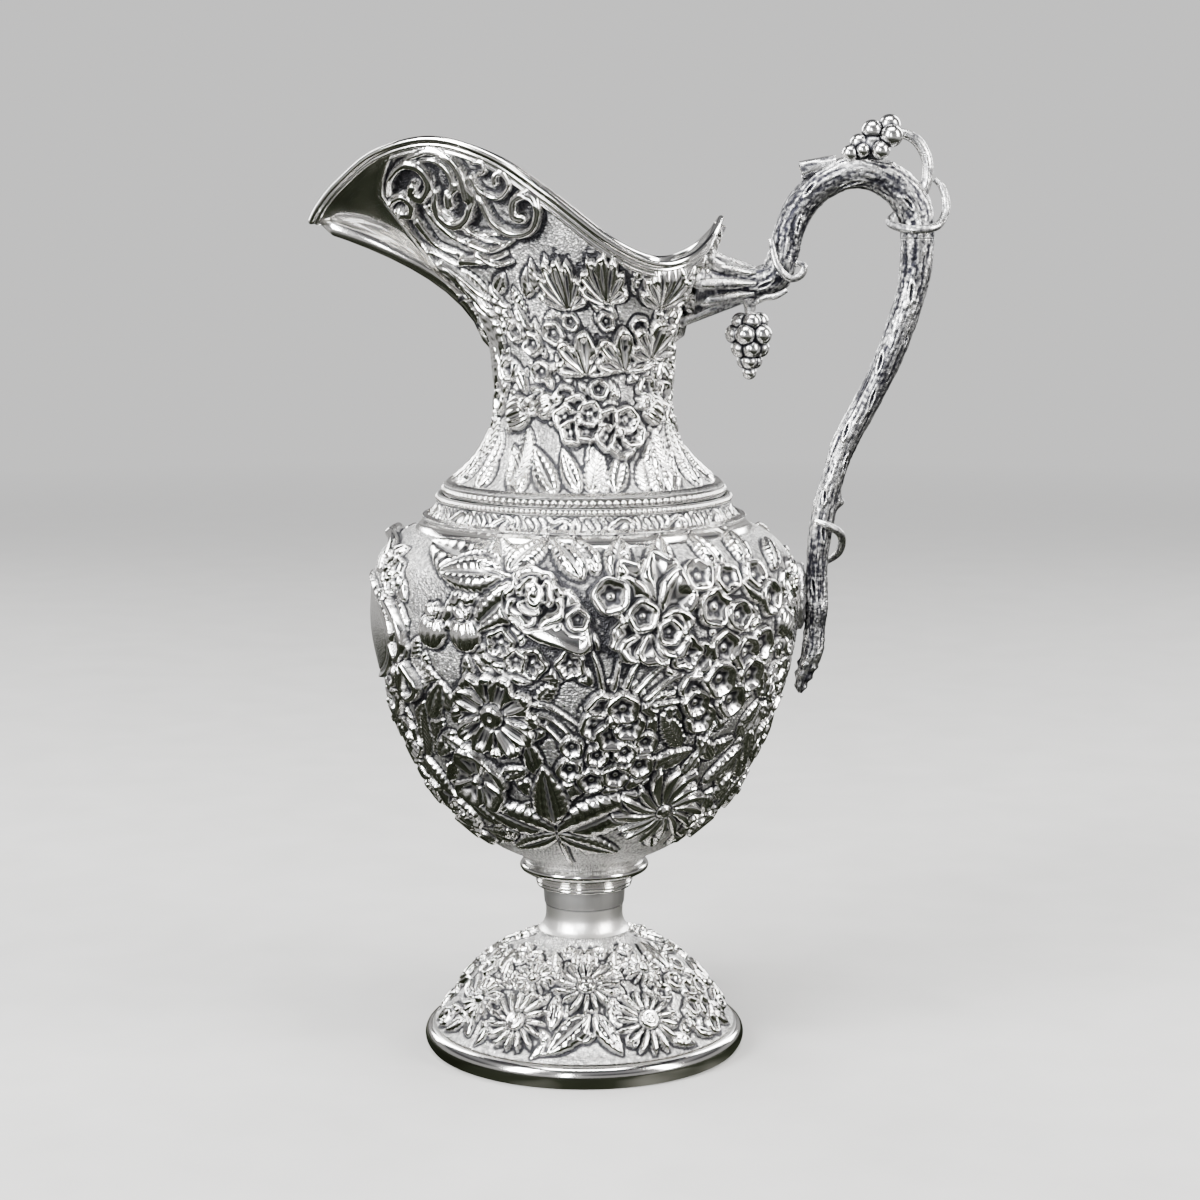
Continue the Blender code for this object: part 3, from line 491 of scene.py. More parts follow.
class Side:
    """One face of the pitcher: places motifs by azimuth and height, mirrored on the far face."""

    def __init__(self, relief, front):
        self.relief = relief
        self.front = front

    def spot(self, azimuth, height):
        return self.relief.find(azimuth if self.front else 180 - azimuth, height)

    def seen(self, x, z):
        return self.relief.find_side(x, z, -1 if self.front else 1)

    def turned(self, turn):
        return turn if self.front else -turn

    def span(self, start, end):
        """Length and turn of the line from one place to another."""
        x, y = self.relief.local(start, end)
        return math.hypot(x, y), math.degrees(math.atan2(-x, y))

    def leaves(self, places, width, motif=leaf, **more):
        """Leaves, each given by the azimuth and height of its base and of its tip."""
        for *base, azimuth, height in places:
            start = self.spot(*base)
            length, turn = self.span(start, self.spot(azimuth, height))
            self.relief.stamp(start, 1.15 * length, motif(length, width * length, **more), turn)

    def ferns(self, places):
        self.leaves(places, 0.42, frond)

    def bowls(self, places, **more):
        """Ruffled cups, each given by its azimuth, height and radius."""
        for azimuth, height, radius in places:
            self.relief.stamp(self.spot(azimuth, height), 1.4 * radius, bowl(radius, **more))

    def primrose(self, azimuth, height, radius, first=0.0, low=0.9):
        """Five round cups about a small boss."""
        place = self.spot(azimuth, height)
        for k in range(5):
            a = math.radians(first + 72 * k)
            cup = bowl(0.52 * radius, low=low, rim=0.9, depth=1.3, depth_of_lobe=0.05)
            motif = shifted(cup, -0.5 * radius * math.sin(a), 0.5 * radius * math.cos(a), 0.0)
            self.relief.stamp(place, 1.2 * radius, motif)
        self.relief.stamp(place, radius, boss(0.2 * radius, low=low + 0.4))

    def rays(self, azimuth, height, radius, petals, **more):
        self.relief.stamp(self.spot(azimuth, height), 1.2 * radius, rays(radius, petals, **more))

    def whorl(self, azimuth, height, radius, petals, width=0.6, first=0.0, ragged=0.1, middle=0.22, **more):
        """Overlapping petals round a boss."""
        place = self.spot(azimuth, height)
        for k in RNG.permutation(petals):
            length = radius * (1 - ragged * RNG.uniform(0, 1))
            turn = first + 360 * k / petals + RNG.uniform(-5, 5)
            self.relief.stamp(place, 1.25 * radius, petal(length, width * radius, **more), turn)
        if middle:
            level = more.get("low", 1.0) + 0.9
            self.relief.stamp(place, 1.25 * radius, boss(middle * radius, low=level))

    def rose(self, azimuth, height, radius, low=0.9):
        """Wide skirts below and a wound bud in the middle."""
        self.whorl(azimuth, height, radius, 5, width=1.15, middle=0, low=low, rim=1.3, cup=1.7,
                   waves=0.08, ragged=0.2)
        self.whorl(azimuth, height, 0.6 * radius, 3, width=1.3, first=40, middle=0, low=low + 1.1,
                   rim=1.2, cup=1.2, waves=0.04, ragged=0.1)

        def heart(x, y):
            m = np.hypot(x, 0.75 * y) / (0.28 * radius)
            spiral = np.cos(math.tau * 1.1 * m - np.arctan2(y, x))
            return low + 2.2 + 1.0 * np.sqrt(np.clip(1 - m**2, 0, 1)) + 0.35 * spiral, (1 - m) * 0.28 * radius
        self.relief.stamp(self.spot(azimuth, height), radius, heart)

    def fan(self, azimuth, height, petals, **more):
        """Petals from one foot, each given by its turn, length and width."""
        for turn, length, width in petals:
            self.relief.stamp(self.spot(azimuth, height), 1.3 * length, petal(length, width, **more),
                              self.turned(turn))

    def bud(self, azimuth, height, radius, turn=0.0, ribs=4):
        place = self.spot(azimuth, height)
        turn = self.turned(turn)
        self.relief.stamp(place, 2.4 * radius, bud(2 * radius, 2.1 * radius, ribs=ribs), turn)
        a = math.radians(turn)
        for lean in (-40, 0, 40):
            motif = shifted(leaf(0.9 * radius, 0.55 * radius, teeth=3, low=2.0, crown=1.0),
                            -0.75 * radius * math.sin(a), 0.75 * radius * math.cos(a), turn + lean)
            self.relief.stamp(place, 2.6 * radius, motif)

    def scatter(self, low, high, spacing, size, kinds, clear=0):
        """Low filling of small leaves, fronds and flowers, leaving the middle clear up to an azimuth."""
        for height in np.arange(low, high, spacing):
            span = self.relief.girth[self.spot(0, height)[0]] / 2
            count = max(3, int(span / (1.25 * spacing)))
            for k in range(count):
                azimuth = -88 + 176 * (k + RNG.uniform(0.1, 0.9)) / count
                level = height + RNG.uniform(-0.35, 0.35) * spacing
                turn = RNG.uniform(-75, 75)
                kind = kinds[RNG.integers(len(kinds))]
                if abs(azimuth) < clear:
                    continue
                grown = size * RNG.uniform(0.8, 1.2)
                place = self.spot(azimuth, level)
                if kind == "flower":
                    self.relief.stamp(place, grown, bowl(0.32 * grown, low=0.8))
                elif kind == "leaf":
                    self.relief.stamp(place, 1.2 * grown,
                                      leaf(grown, 0.48 * grown, teeth=6, crown=0.9, low=0.4), turn)
                else:
                    self.relief.stamp(place, 1.2 * grown, frond(grown, 0.5 * grown), turn)

    def strokes(self, lines, start_w, end_w, **more):
        for places in lines:
            self.stroke(places, start_w, end_w, **more)

    def stroke(self, places, start_w, end_w, by_sight=False, **more):
        find = self.seen if by_sight else self.spot
        found = [find(*p) for p in places]
        ref = found[len(found) // 2]
        local = [self.relief.local(ref, p) for p in found]
        reach = 1.1 * max(max(abs(x), abs(y)) for x, y in local) + 2 * max(start_w, end_w) + 1
        self.relief.stamp(ref, reach, stroke(local, start_w, end_w, **more))


# ---------------------------------------------------------------- the relief of each sheet
RELIEF = 1.25  # how much higher than drawn the motifs stand
GROUND_LEVEL = -1.9  # chased ground against the mean level of the solids
LOWEST, HIGHEST = -2.1, 4.6


def turned_relief(profile, radius):
    """A relief on a turned face, from a bottom-to-top (radius, height) profile."""
    return Relief(revolve(resample(np.array(profile), CELL), int(math.tau * radius / CELL)))


def body_outline():
    """The body's outer face from its seat on the knop ring up to the shoulder band."""
    shape = [(-1, 1), (-0.69, 0.98), (-0.35, 0.945), (-0.09, 0.888), (0, 0.79), (0, 0.68), (-0.18, 0.545),
             (-0.45, 0.42), (-0.72, 0.325), (-1.13, 0.205), (-1.61, 0.125), (-2.24, 0.047)]
    inset = BODY_R - SHOULDER_R
    low = BODY_LOW[2]
    upright = 0.8
    slope = [(BODY_R + s * inset, low + h * (BODY_H - upright)) for s, h in reversed(shape)]
    base = (KNOP_HIGH[0] - KNOP_LOW[0]) / 2 - (KNOP_HIGH[2] - KNOP_LOW[2]) / 2
    return catmull([(base, low), *slope, (SHOULDER_R, low + BODY_H + 0.3)], 14)


def body_leaves(side):
    side.leaves([(-18, 190, -54, 199), (-20, 190, -29, 202), (-20, 192, -12, 203)], width=0.62, teeth=10)
    side.leaves([(-17, 189, -39, 171), (-15, 188, -29, 170.5), (-21, 191, -41, 190)], width=0.62,
                teeth=10, crown=2.0, low=1.0)
    side.stroke([(-10, 186), (-18, 190), (-27, 193)], 0.9, 0.6, low=1.4)
    side.leaves([(40, 190, 39, 203), (50, 191, 59, 206), (46, 186, 60, 176), (62, 188, 74, 198),
                 (4, 192, -3, 203), (8, 191, 13, 203.5), (0, 190, -10, 202), (66, 178, 76, 166),
                 (-40, 131, -50, 120), (-62, 196, -72, 188), (20, 190, 27, 203)], width=0.46, teeth=8)
    side.leaves([(-31, 120, -45, 130), (58, 128, 66, 112), (56, 123, 43, 110), (58, 112, 50, 98),
                 (14, 112, 22, 124), (48, 104, 58, 93), (-44, 106, -34, 94), (-60, 118, -52, 103)],
                width=0.4, teeth=9)
    side.leaves([(-10, 93, *tip) for tip in ((-12, 121), (-38, 105), (22, 110), (-36, 84), (18, 83))],
                width=0.46, teeth=10, crown=1.9, low=0.6)


def body_fillers(side):
    side.ferns([(24, 98, 12, 116), (22, 96, 6, 104), (-52, 136, -60, 116), (82, 150, 84, 176),
                (80, 116, 84, 140), (-66, 140, -72, 120), (66, 92, 72, 108), (-24, 84, -34, 92),
                (52, 132, 64, 118), (54, 126, 60, 106)])
    side.strokes([[(5, 150), (4, 158), (2, 166)], [(8, 151), (9, 159), (10, 167)],
                  [(11, 151), (14, 160), (20, 167)], [(14, 149), (19, 157), (27, 163)],
                  [(17, 147), (23, 153), (31, 157)], [(-17, 145), (-9, 144), (-1, 137)],
                  [(-16, 142), (-9, 140), (-3, 133)], [(-15, 139), (-10, 136), (-6, 130)],
                  [(29, 101), (34, 116), (40, 134)], [(20, 144), (27, 145), (32, 143)],
                  [(-10, 93), (-9, 84), (-8, 76)], [(58, 158), (66, 164), (72, 174)],
                  [(-58, 150), (-62, 142), (-60, 132)], [(60, 112), (57, 124), (60, 138)],
                  [(63, 110), (61, 124), (64, 138)]], 1.0, 0.6, low=0.8, groove=0.3)


def body_flowers(side):
    # the outlying primroses
    for azimuth, height, radius in [(-62, 186, 8), (-66, 124, 9), (66, 146, 9), (72, 122, 10),
                                    (-72, 104, 9), (56, 92, 9), (-52, 96, 8), (80, 100, 9), (78, 182, 8),
                                    (-80, 128, 8)]:
        side.primrose(azimuth, height, radius, first=RNG.uniform(0, 72))
    side.whorl(-25, 140, 18, 12, width=0.50, low=1.2, rim=0.8, cup=0.6, lift=1.5, waves=0.02, ribs=0.35,
               middle=0.24)
    side.whorl(-36, 113, 14, 5, width=0.95, low=1.0, rim=0.9, cup=1.0, lift=1.4, waves=0.04, ribs=0.12,
               middle=0.12)
    side.rays(29, 101.5, 21, 15, curl=0.45, ragged=0.25, heart=0.15, width=0.92, crown=1.8)
    # the double flower at the middle right
    side.bowls([(31, 160, 6.5), (39, 163, 7), (47, 160, 6.5), (50, 151, 7), (30, 150, 5.5), (44, 143, 7),
                (34, 138, 6.5)])
    side.bowls([(38, 152, 7), (31, 144, 5.5)], low=1.8)
    # the primroses in the middle
    side.bowls([(-4, 120, 5.2), (2.5, 115.5, 5.4), (10, 117.5, 5.2), (17, 121, 5.2), (-3, 129, 4.6),
                (18, 130, 4.6)], low=0.9)
    side.bowls([(4, 126, 4.4), (12, 127, 4.4)], low=1.5)
    side.primrose(8, 139, 12, first=36, low=1.5)
    # small cups hanging under the two great flowers
    side.bowls([(-21, 167, 5.5), (-13, 160, 6.0), (-3, 160, 5.5), (-17, 161, 4.5), (27, 163, 6.5)],
               depth_of_lobe=0.09)
    # the great flowers: the ruffled one, the small cups round it and the rose
    side.fan(19, 172, [(18, 27, 17), (-8, 27, 16), (-34, 22, 16), (44, 22, 15)], low=1.2, rim=1.3,
             cup=1.0, lift=2.0, waves=0.06)
    side.bowls([(36, 178, 7.5), (44, 174, 6), (32, 190, 6.5), (41, 188, 6), (58, 178, 7), (52, 188, 6)],
               low=1.2)
    side.fan(17, 172, [(100, 15, 13), (140, 14, 13), (185, 13, 14), (-120, 15, 13), (-80, 15, 12)],
             low=1.5, rim=1.3, cup=1.3, waves=0.08)
    side.bowls([(7, 184, 7.0), (15, 177, 6.0), (22, 171, 5.0)], low=2.2, depth=1.8)
    side.fan(-3, 187, [(150, 22, 36)], low=1.4, rim=1.5, cup=1.6, lift=1.8, waves=0.06)
    side.bowls([(-1, 176, 4.5)], low=2.2, depth=1.8)
    side.rose(-12, 184, 12)
    side.bud(-42, 169, 6.5, turn=-8)
    side.bud(-31, 169.5, 6.5, turn=6)
    side.bud(66, 168, 6.0, turn=-30)


def body_panel(relief):
    """The plain oval panel under the spout, in its frame of scrolls."""
    place = relief.find(-90, 162)
    relief.stamp(place, 60, oval(86, 40, level=0.8), shine=0.8)
    for side in (Side(relief, True), Side(relief, False)):
        side.strokes([[(-62, 176), (-55, 168), (-54, 160), (-58, 156), (-60, 160)],
                      [(-60, 190), (-68, 186), (-72, 192)],
                      [(-56, 152), (-62, 138), (-74, 130), (-84, 128)],
                      [(-54, 154), (-50, 146), (-56, 141), (-60, 146)],
                      [(-90, 196), (-76, 196), (-66, 190), (-66, 184)]], 1.9, 0.9, low=1.5, crown=1.1,
                     groove=0.5)


def body_relief():
    relief = turned_relief(body_outline(), BODY_R)
    for front in (True, False):
        side = Side(relief, front)
        side.scatter(86, 170, 11, 16, kinds=("leaf", "leaf", "fern"))
        side.scatter(86, 190, 15, 18, kinds=("leaf", "leaf", "flower"), clear=48)
        body_fillers(side)
        body_leaves(side)
    body_panel(relief)
    for front in (True, False):
        body_flowers(Side(relief, front))
    return relief


def dome_outline():
    foot = FOOT_R - 0.55 * FOOT_RIM_W
    top = STEM_R + 0.8
    low = DOME_LOW[2]
    height = DOME_HIGH[2] - DOME_LOW[2]
    shape = [(0.95, 0.13), (0.73, 0.48), (0.47, 0.74), (0.21, 0.87), (0.06, 0.93), (0, 1)]
    return catmull([(foot, low), (foot, low + 0.8),
                    *[(top + s * (foot - top), low + h * height) for s, h in shape]], 14)


def dome_relief():
    relief = turned_relief(dome_outline(), FOOT_R)
    for front in (True, False):
        side = Side(relief, front)
        side.scatter(15, 40, 7, 11, kinds=("leaf", "leaf", "fern", "flower"))
        side.leaves([(3, 25, -14, 12), (5, 25, 15, 12), (36, 16, 48, 10.5), (-3, 37, -6, 42),
                     (4, 37, 8, 42), (-20, 36, -30, 41), (-60, 17, -68, 10.5), (-44, 17, -46, 10.5),
                     (20, 36, 32, 41), (70, 17, 78, 10.5), (-76, 17, -84, 10.5), (60, 34, 74, 41),
                     (-60, 34, -70, 41), (82, 30, 88, 20), (-16, 15, -20, 10), (-12, 36, -30, 33),
                     (14, 37, 26, 35), (-50, 32, -60, 37), (16, 20, 13, 31), (-14, 20, -13, 31),
                     (-66, 34, -80, 31), (52, 15, 60, 11)], width=0.46, teeth=6, crown=1.2)
        side.bowls([(-44, 39, 3.4), (-70, 33, 4), (70, 34, 4), (16, 41, 3), (-16, 41, 3), (46, 41, 3),
                    (-66, 40, 3), (62, 27, 4), (57, 22, 4), (66, 20, 4.5), (72, 26, 4), (64, 14, 4),
                    (-87, 27, 5), (84, 18, 5)], low=0.8)
        for place in [(-30, 34, 8.5), (40, 36, 8.5), (-55.5, 25, 10), (-30, 21, 13), (29, 21.5, 14),
                      (1.5, 33, 13)]:
            side.rays(*place, 15, ragged=0.14, heart=0.30, curl=0.2, width=0.74, low=1.4, crown=1.5)
    return relief


def band_relief():
    radius = SHOULDER_R
    low, high = BAND_LOW[2], BAND_HIGH[2]
    outline = catmull([(radius, low), (radius, low + 0.8), (radius - 3.3, low + 0.5 * (high - low)),
                       (BAND_TOP_R, high)], 10)
    relief = turned_relief(outline, radius)
    scroll = [(-11, -2.4), (-6, -2.2), (-1, 0.4), (3, 2.4), (6.6, 1.4), (6.8, -1.2), (4.4, -1.9),
              (3.2, -0.4), (4.4, 0.4)]
    plumes = [[(-9, -2.2), (-8, 0), (-9.6, 2.2)], [(-6.4, -2.0), (-5.6, 0.4), (-7.2, 2.6)],
              [(-3.6, -0.8), (-3.0, 1.2), (-4.6, 2.8)], [(-1.0, 0.4), (-0.4, 2.0), (-1.8, 3.0)],
              [(0.4, -2.6), (3, -3.0), (6, -2.9)], [(8, 2.2), (9.4, 0.6), (8.8, -1.6)],
              [(-4, -2.6), (-1, -1.6), (2, -1.4)]]
    units = 16
    for unit in range(units):
        place = relief.find(360 * (unit + 0.5) / units, (low + high) / 2)
        for line in plumes:
            relief.stamp(place, 14, stroke(line, 0.75, 0.25, low=0.45, crown=0.5, groove=0.15))
        relief.stamp(place, 14, stroke(scroll, 0.55, 0.8, low=0.5, crown=0.6, groove=0.25))
    return relief


# ---------------------------------------------------------------- neck and spout
NECK_BASE_R = 52.2
NECK_R = 33.6
NECK_H = 43.0
THROAT_H = 54.0
SEAT = 2.3  # the sheet ends this far under the middle of the mouth's rim
RIM_HALF = 1.7
MOUTH_LOW, MOUTH_HIGH = box_mm("mouth_rim")
SPOUT_REACH = AXIS_X - MOUTH_LOW[0] - RIM_HALF
LIP_REACH = MOUTH_HIGH[0] - AXIS_X - RIM_HALF
MOUTH_W = MOUTH_HIGH[1] - MOUTH_LOW[1] - 2 * RIM_HALF
LIP_Z = NECK_LOW[2] + NECK_H + THROAT_H
BAND_TOP_R = 54.8


def mouth_half():
    """Half of the mouth's rim, handle to spout tip: x, y, z and the lean of the sheet in degrees."""
    w, lip, spout = MOUTH_W / 2, LIP_REACH, SPOUT_REACH
    shape = [(lip, 0.0, 0.0, 21), (0.93 * lip, 0.39, -5.7, 21), (0.79 * lip, 0.68, -12.4, 20),
             (0.61 * lip, 0.85, -15.6, 18), (0.42 * lip, 0.94, -14.2, 16), (0.15 * lip, 1.0, -6.8, 15),
             (-0.13 * spout, 1.0, 9.0, 16), (-0.33 * spout, 0.92, 22.2, 18),
             (-0.54 * spout, 0.73, 28.2, 22), (-0.74 * spout, 0.51, 23.8, 31),
             (-0.88 * spout, 0.32, 13.6, 45), (-0.96 * spout, 0.15, 5.2, 62), (-spout, 0.0, -1.0, 77),]
    return [(x, y * w, LIP_Z + z, lean) for x, y, z, lean in shape]


def mouth_loop(spacing):
    """The whole rim once round: positions and leans at even spacing, from the handle past +Y."""
    half = catmull(mouth_half(), 24)
    other = half[-2:0:-1] * [1, -1, 1, 1]
    loop = np.concatenate([half, other, half[:1]])
    return resample(loop, spacing)[:-1]


def rim_axes(spacing):
    """Points round the rim, the sheet's direction at each, and its two axes square to the rim."""
    loop = mouth_loop(spacing)
    point, lean = loop[:, :3], np.radians(loop[:, 3])
    tangent = np.roll(point, -1, axis=0) - np.roll(point, 1, axis=0)
    tangent /= np.linalg.norm(tangent, axis=1, keepdims=True)
    outward = np.stack([tangent[:, 1], -tangent[:, 0], 0 * lean], axis=1)
    outward /= np.linalg.norm(outward, axis=1, keepdims=True)
    up = outward * np.sin(lean)[:, None] + np.stack([0 * lean, 0 * lean, np.cos(lean)], axis=1)
    square = up - tangent * np.sum(up * tangent, axis=1, keepdims=True)
    square /= np.linalg.norm(square, axis=1, keepdims=True)
    return point, up, square, np.cross(tangent, square)


def neck_points():
    """Rows of points up the neck's outer face, each once round."""
    point, up, square, face = rim_axes(CELL)
    count = len(point)
    around = np.arctan2(point[:, 1], point[:, 0]) % math.tau
    along = math.tau * np.arange(count) / count
    around[0] = 0
    turn_angle = (around + along) / 2
    top = point - square * (SEAT - 0.9) + face * 0.75
    radial = np.stack([np.cos(turn_angle), np.sin(turn_angle), 0 * turn_angle], axis=1)
    low = NECK_LOW[2]
    skirt = [(0.0, 1.0), (0.02, 0.98), (0.13, 0.62), (0.28, 0.3), (0.5, 0.09), (0.8, 0.0)]
    rows = [radial * (NECK_R + f * (NECK_BASE_R - NECK_R)) + [0, 0, low + NECK_H * h] for h, f in skirt]
    waist = radial * NECK_R + [0, 0, low + NECK_H]
    reach = np.linalg.norm(top - waist, axis=1, keepdims=True)
    lift = waist + [0, 0, 1] * (0.34 * reach)
    hold = top - up * (0.42 * reach)
    for t in np.linspace(0, 1, 15):
        s = 1 - t
        rows.append(waist * s**3 + lift * (3 * s * s * t) + hold * (3 * s * t * t) + top * t**3)
    rows = np.array(rows)
    smooth = np.stack([catmull(list(rows[:, c]), 10) for c in range(count)], axis=1)
    steps = np.linalg.norm(np.diff(smooth, axis=0), axis=2).mean(axis=1)
    level = np.concatenate([[0], np.cumsum(steps)])
    wanted = np.linspace(0, level[-1], int(level[-1] / CELL))
    index = np.searchsorted(level, wanted, side="right").clip(1, len(level) - 1)
    part = ((wanted - level[index - 1]) / (level[index] - level[index - 1]))[:, None, None]
    return smooth[index - 1] * (1 - part) + smooth[index] * part


def neck_relief():
    relief = Relief(neck_points())
    for front in (True, False):
        side = Side(relief, front)
        side.scatter(238, 288, 9, 12, kinds=("leaf", "leaf", "fern"))
        side.leaves([(-12, 217, -30, 232), (-28, 217, -46, 232), (10, 218, 4, 234), (14, 218, 24, 232),
                     (34, 217, 44, 234), (40, 217, 60, 230), (60, 217, 74, 232), (-50, 217, -64, 230),
                     (-70, 217, -82, 232), (80, 217, 88, 230), (-84, 217, -88, 236), (-2, 218, -12, 232)],
                    width=0.42, teeth=8, crown=1.1)
        side.ferns([(4, 218, 10, 234), (-34, 220, -36, 238), (28, 218, 34, 228), (-60, 220, -60, 236),
                    (52, 220, 50, 238), (70, 222, 68, 240), (-76, 224, -74, 244), (84, 228, 80, 246)])
        side.leaves([(-20, 252, -30, 262), (-8, 254, -18, 264), (30, 254, 46, 262), (-40, 250, -52, 262),
                     (24, 262, 44, 266), (-16, 284, -32, 294), (-14, 286, -22, 300), (8, 286, 16, 302),
                     (30, 286, 40, 298), (52, 254, 60, 270), (-36, 264, -44, 282), (66, 262, 72, 280),
                     (-62, 248, -70, 268), (-50, 268, -60, 288), (-66, 262, -76, 288),
                     (-82, 250, -84, 276), (44, 284, 54, 290), (80, 250, 84, 266), (62, 280, 70, 292),
                     (-28, 286, -30, 298)], width=0.40, teeth=9, crown=1.3)
        side.bowls([(-19, 272, 4.6), (64, 249, 5), (-56, 258, 4.6), (78, 262, 4.5), (-70, 246, 5),
                    (56, 276, 4.5), (82, 284, 4), (-34, 268, 4.4), (14, 276, 3.8), (72, 296, 4),
                    (10, 252, 4), (-28, 258, 4.2), (44, 252, 4.4), (38, 262, 4), (-46, 272, 4.2),
                    (-8, 276, 3.6), (34, 274, 4), (-12, 250, 4)], low=0.9)
        side.bud(-46, 243, 6.4, turn=-70)
        side.bud(50, 244, 5.6, turn=60)
        side.bud(-24, 246, 4.8, turn=-60)
        for azimuth, height in [(2, 257), (27, 258), (48, 262)]:
            side.fan(azimuth, height, [(-70, 12, 6), (70, 12, 6), (-38, 15, 6.5), (38, 15, 6.5),
                                       (0, 16, 8)], low=1.3, rim=0.9, cup=0.7, lift=1.2, waves=0.02,
                     ribs=0.10)
        for azimuth, height in [(-9, 280), (13, 282), (44, 280)]:
            side.fan(azimuth, height, [(-58, 12, 5), (58, 12, 5), (-36, 16, 5), (36, 16, 5),
                                       (-17, 19, 5.5), (17, 19, 5.5), (0, 20, 6)], low=1.2, rim=0.8,
                     cup=0.6, lift=1.6, waves=0.04, ribs=0.10)
        side.primrose(-3, 241, 9.5, first=10, low=1.6)
        side.primrose(22, 237, 10, first=40, low=1.8)
        spout_scrolls(side)
        spout_plain(side)
    return relief


def spout_scrolls(side):
    """Scrolling acanthus on the flank of the spout."""
    side.strokes([[(-67, 315), (-64, 308), (-59, 302), (-52, 298), (-46, 295)],
                  [(-63, 316), (-58, 308), (-53, 302), (-44, 299)],
                  [(-57, 319), (-53, 311), (-46, 305), (-38, 303)],
                  [(-54, 317), (-46, 311), (-38, 307), (-31, 307)],
                  [(-52, 296), (-44, 290), (-37, 284), (-28, 281)],
                  [(-50, 293), (-42, 286), (-36, 279), (-30, 276)], [(-44, 297), (-36, 297), (-28, 300)],
                  [(-62, 303), (-55, 297), (-48, 291), (-42, 283)],
                  [(-48, 286), (-42, 279), (-38, 272), (-34, 266)],
                  [(-46, 282), (-41, 274), (-37, 264), (-35, 254)]], 1.9, 0.7, by_sight=True, low=1.0,
                 crown=0.9, groove=0.4)
    side.strokes([[(-42, 309), (-35, 305), (-27, 303)], [(-38, 300), (-32, 296), (-26, 297)],
                  [(-40, 303), (-33, 301), (-25, 305)]], 1.6, 0.5, by_sight=True, low=1.4, crown=0.9)
    scrolls = [([(-40, 327), (-37, 321), (-32, 311), (-25, 307), (-18, 309), (-16, 316), (-19, 321),
                 (-24, 319), (-24, 314), (-21, 313)], 1.3, 2.2),
               ([(-40, 327), (-36, 322), (-30, 320), (-26, 324), (-28, 328), (-31, 328), (-31, 325)], 0.9,
                1.3), ([(-39, 332), (-36, 332), (-35, 329), (-37, 328)], 0.8, 1.0),
               ([(-53, 322), (-52, 314), (-46, 310), (-41, 313), (-40, 320), (-43, 324), (-47, 322),
                 (-47, 318)], 1.6, 2.3), ([(-67, 330), (-57, 336), (-48, 334), (-43, 328), (-41, 320)],
                                          1.4, 1.9), ([(-63, 331), (-54, 333), (-48, 329), (-46, 323)],
            0.9, 1.4), ([(-70, 321), (-69, 327), (-64, 331), (-58, 330), (-55, 325), (-57, 320),
                         (-61, 321), (-61, 324)], 1.2, 2.3),
            ([(-69, 312), (-70, 317), (-66, 320), (-62, 318), (-62, 314), (-65, 314)], 1.2, 1.8),]
    for line, start_w, end_w in scrolls:
        side.stroke(line, start_w, end_w, by_sight=True, low=1.5, crown=1.1, groove=0.5)


def spout_plain(side):
    """Marks the plain polished end of the spout, inside its engraved line."""
    relief = side.relief
    x, y, z = (relief.points[:, :, k] for k in range(3))
    edge = -72.0 + 9.0 * ((z - 320) / 22) ** 2 * np.where(z > 320, 1, 0) + 0.75 * np.clip(320 - z, 0, 60)
    here = (y * (-1 if side.front else 1) > -0.5) & (z > 282)
    inside = np.where(here, edge - x, -9.0)
    mask = np.clip(inside / 0.6, 0, 1)
    relief.h = relief.h * (1 - mask) + 1.7 * mask + np.where(here, 0.9 * bump(inside + 0.9, 0.7), 0)
    relief.h = relief.h - np.where(here, 0.3 * bump(inside - 1.8, 0.3), 0)
    relief.shine = np.maximum(relief.shine, mask)


# ---------------------------------------------------------------- materials
def shader_nodes(name):
    material = bpy.data.materials.new(name)
    material.use_nodes = True
    tree = material.node_tree
    return material, tree, tree.nodes["Principled BSDF"]


def add(tree, kind, **values):
    node = tree.nodes.new(kind)
    for key, value in values.items():
        if hasattr(node, key):
            setattr(node, key, value)
        else:
            node.inputs[key.replace("_", " ")].default_value = value
    return node


def ramp(tree, source, stops):
    node = add(tree, "ShaderNodeValToRGB")
    while len(node.color_ramp.elements) < len(stops):
        node.color_ramp.elements.new(0.5)
    for element, (place, colour) in zip(node.color_ramp.elements, stops):
        element.position = place
        element.color = (*colour, 1)
    tree.links.new(source, node.inputs["Fac"])
    return node.outputs["Color"]


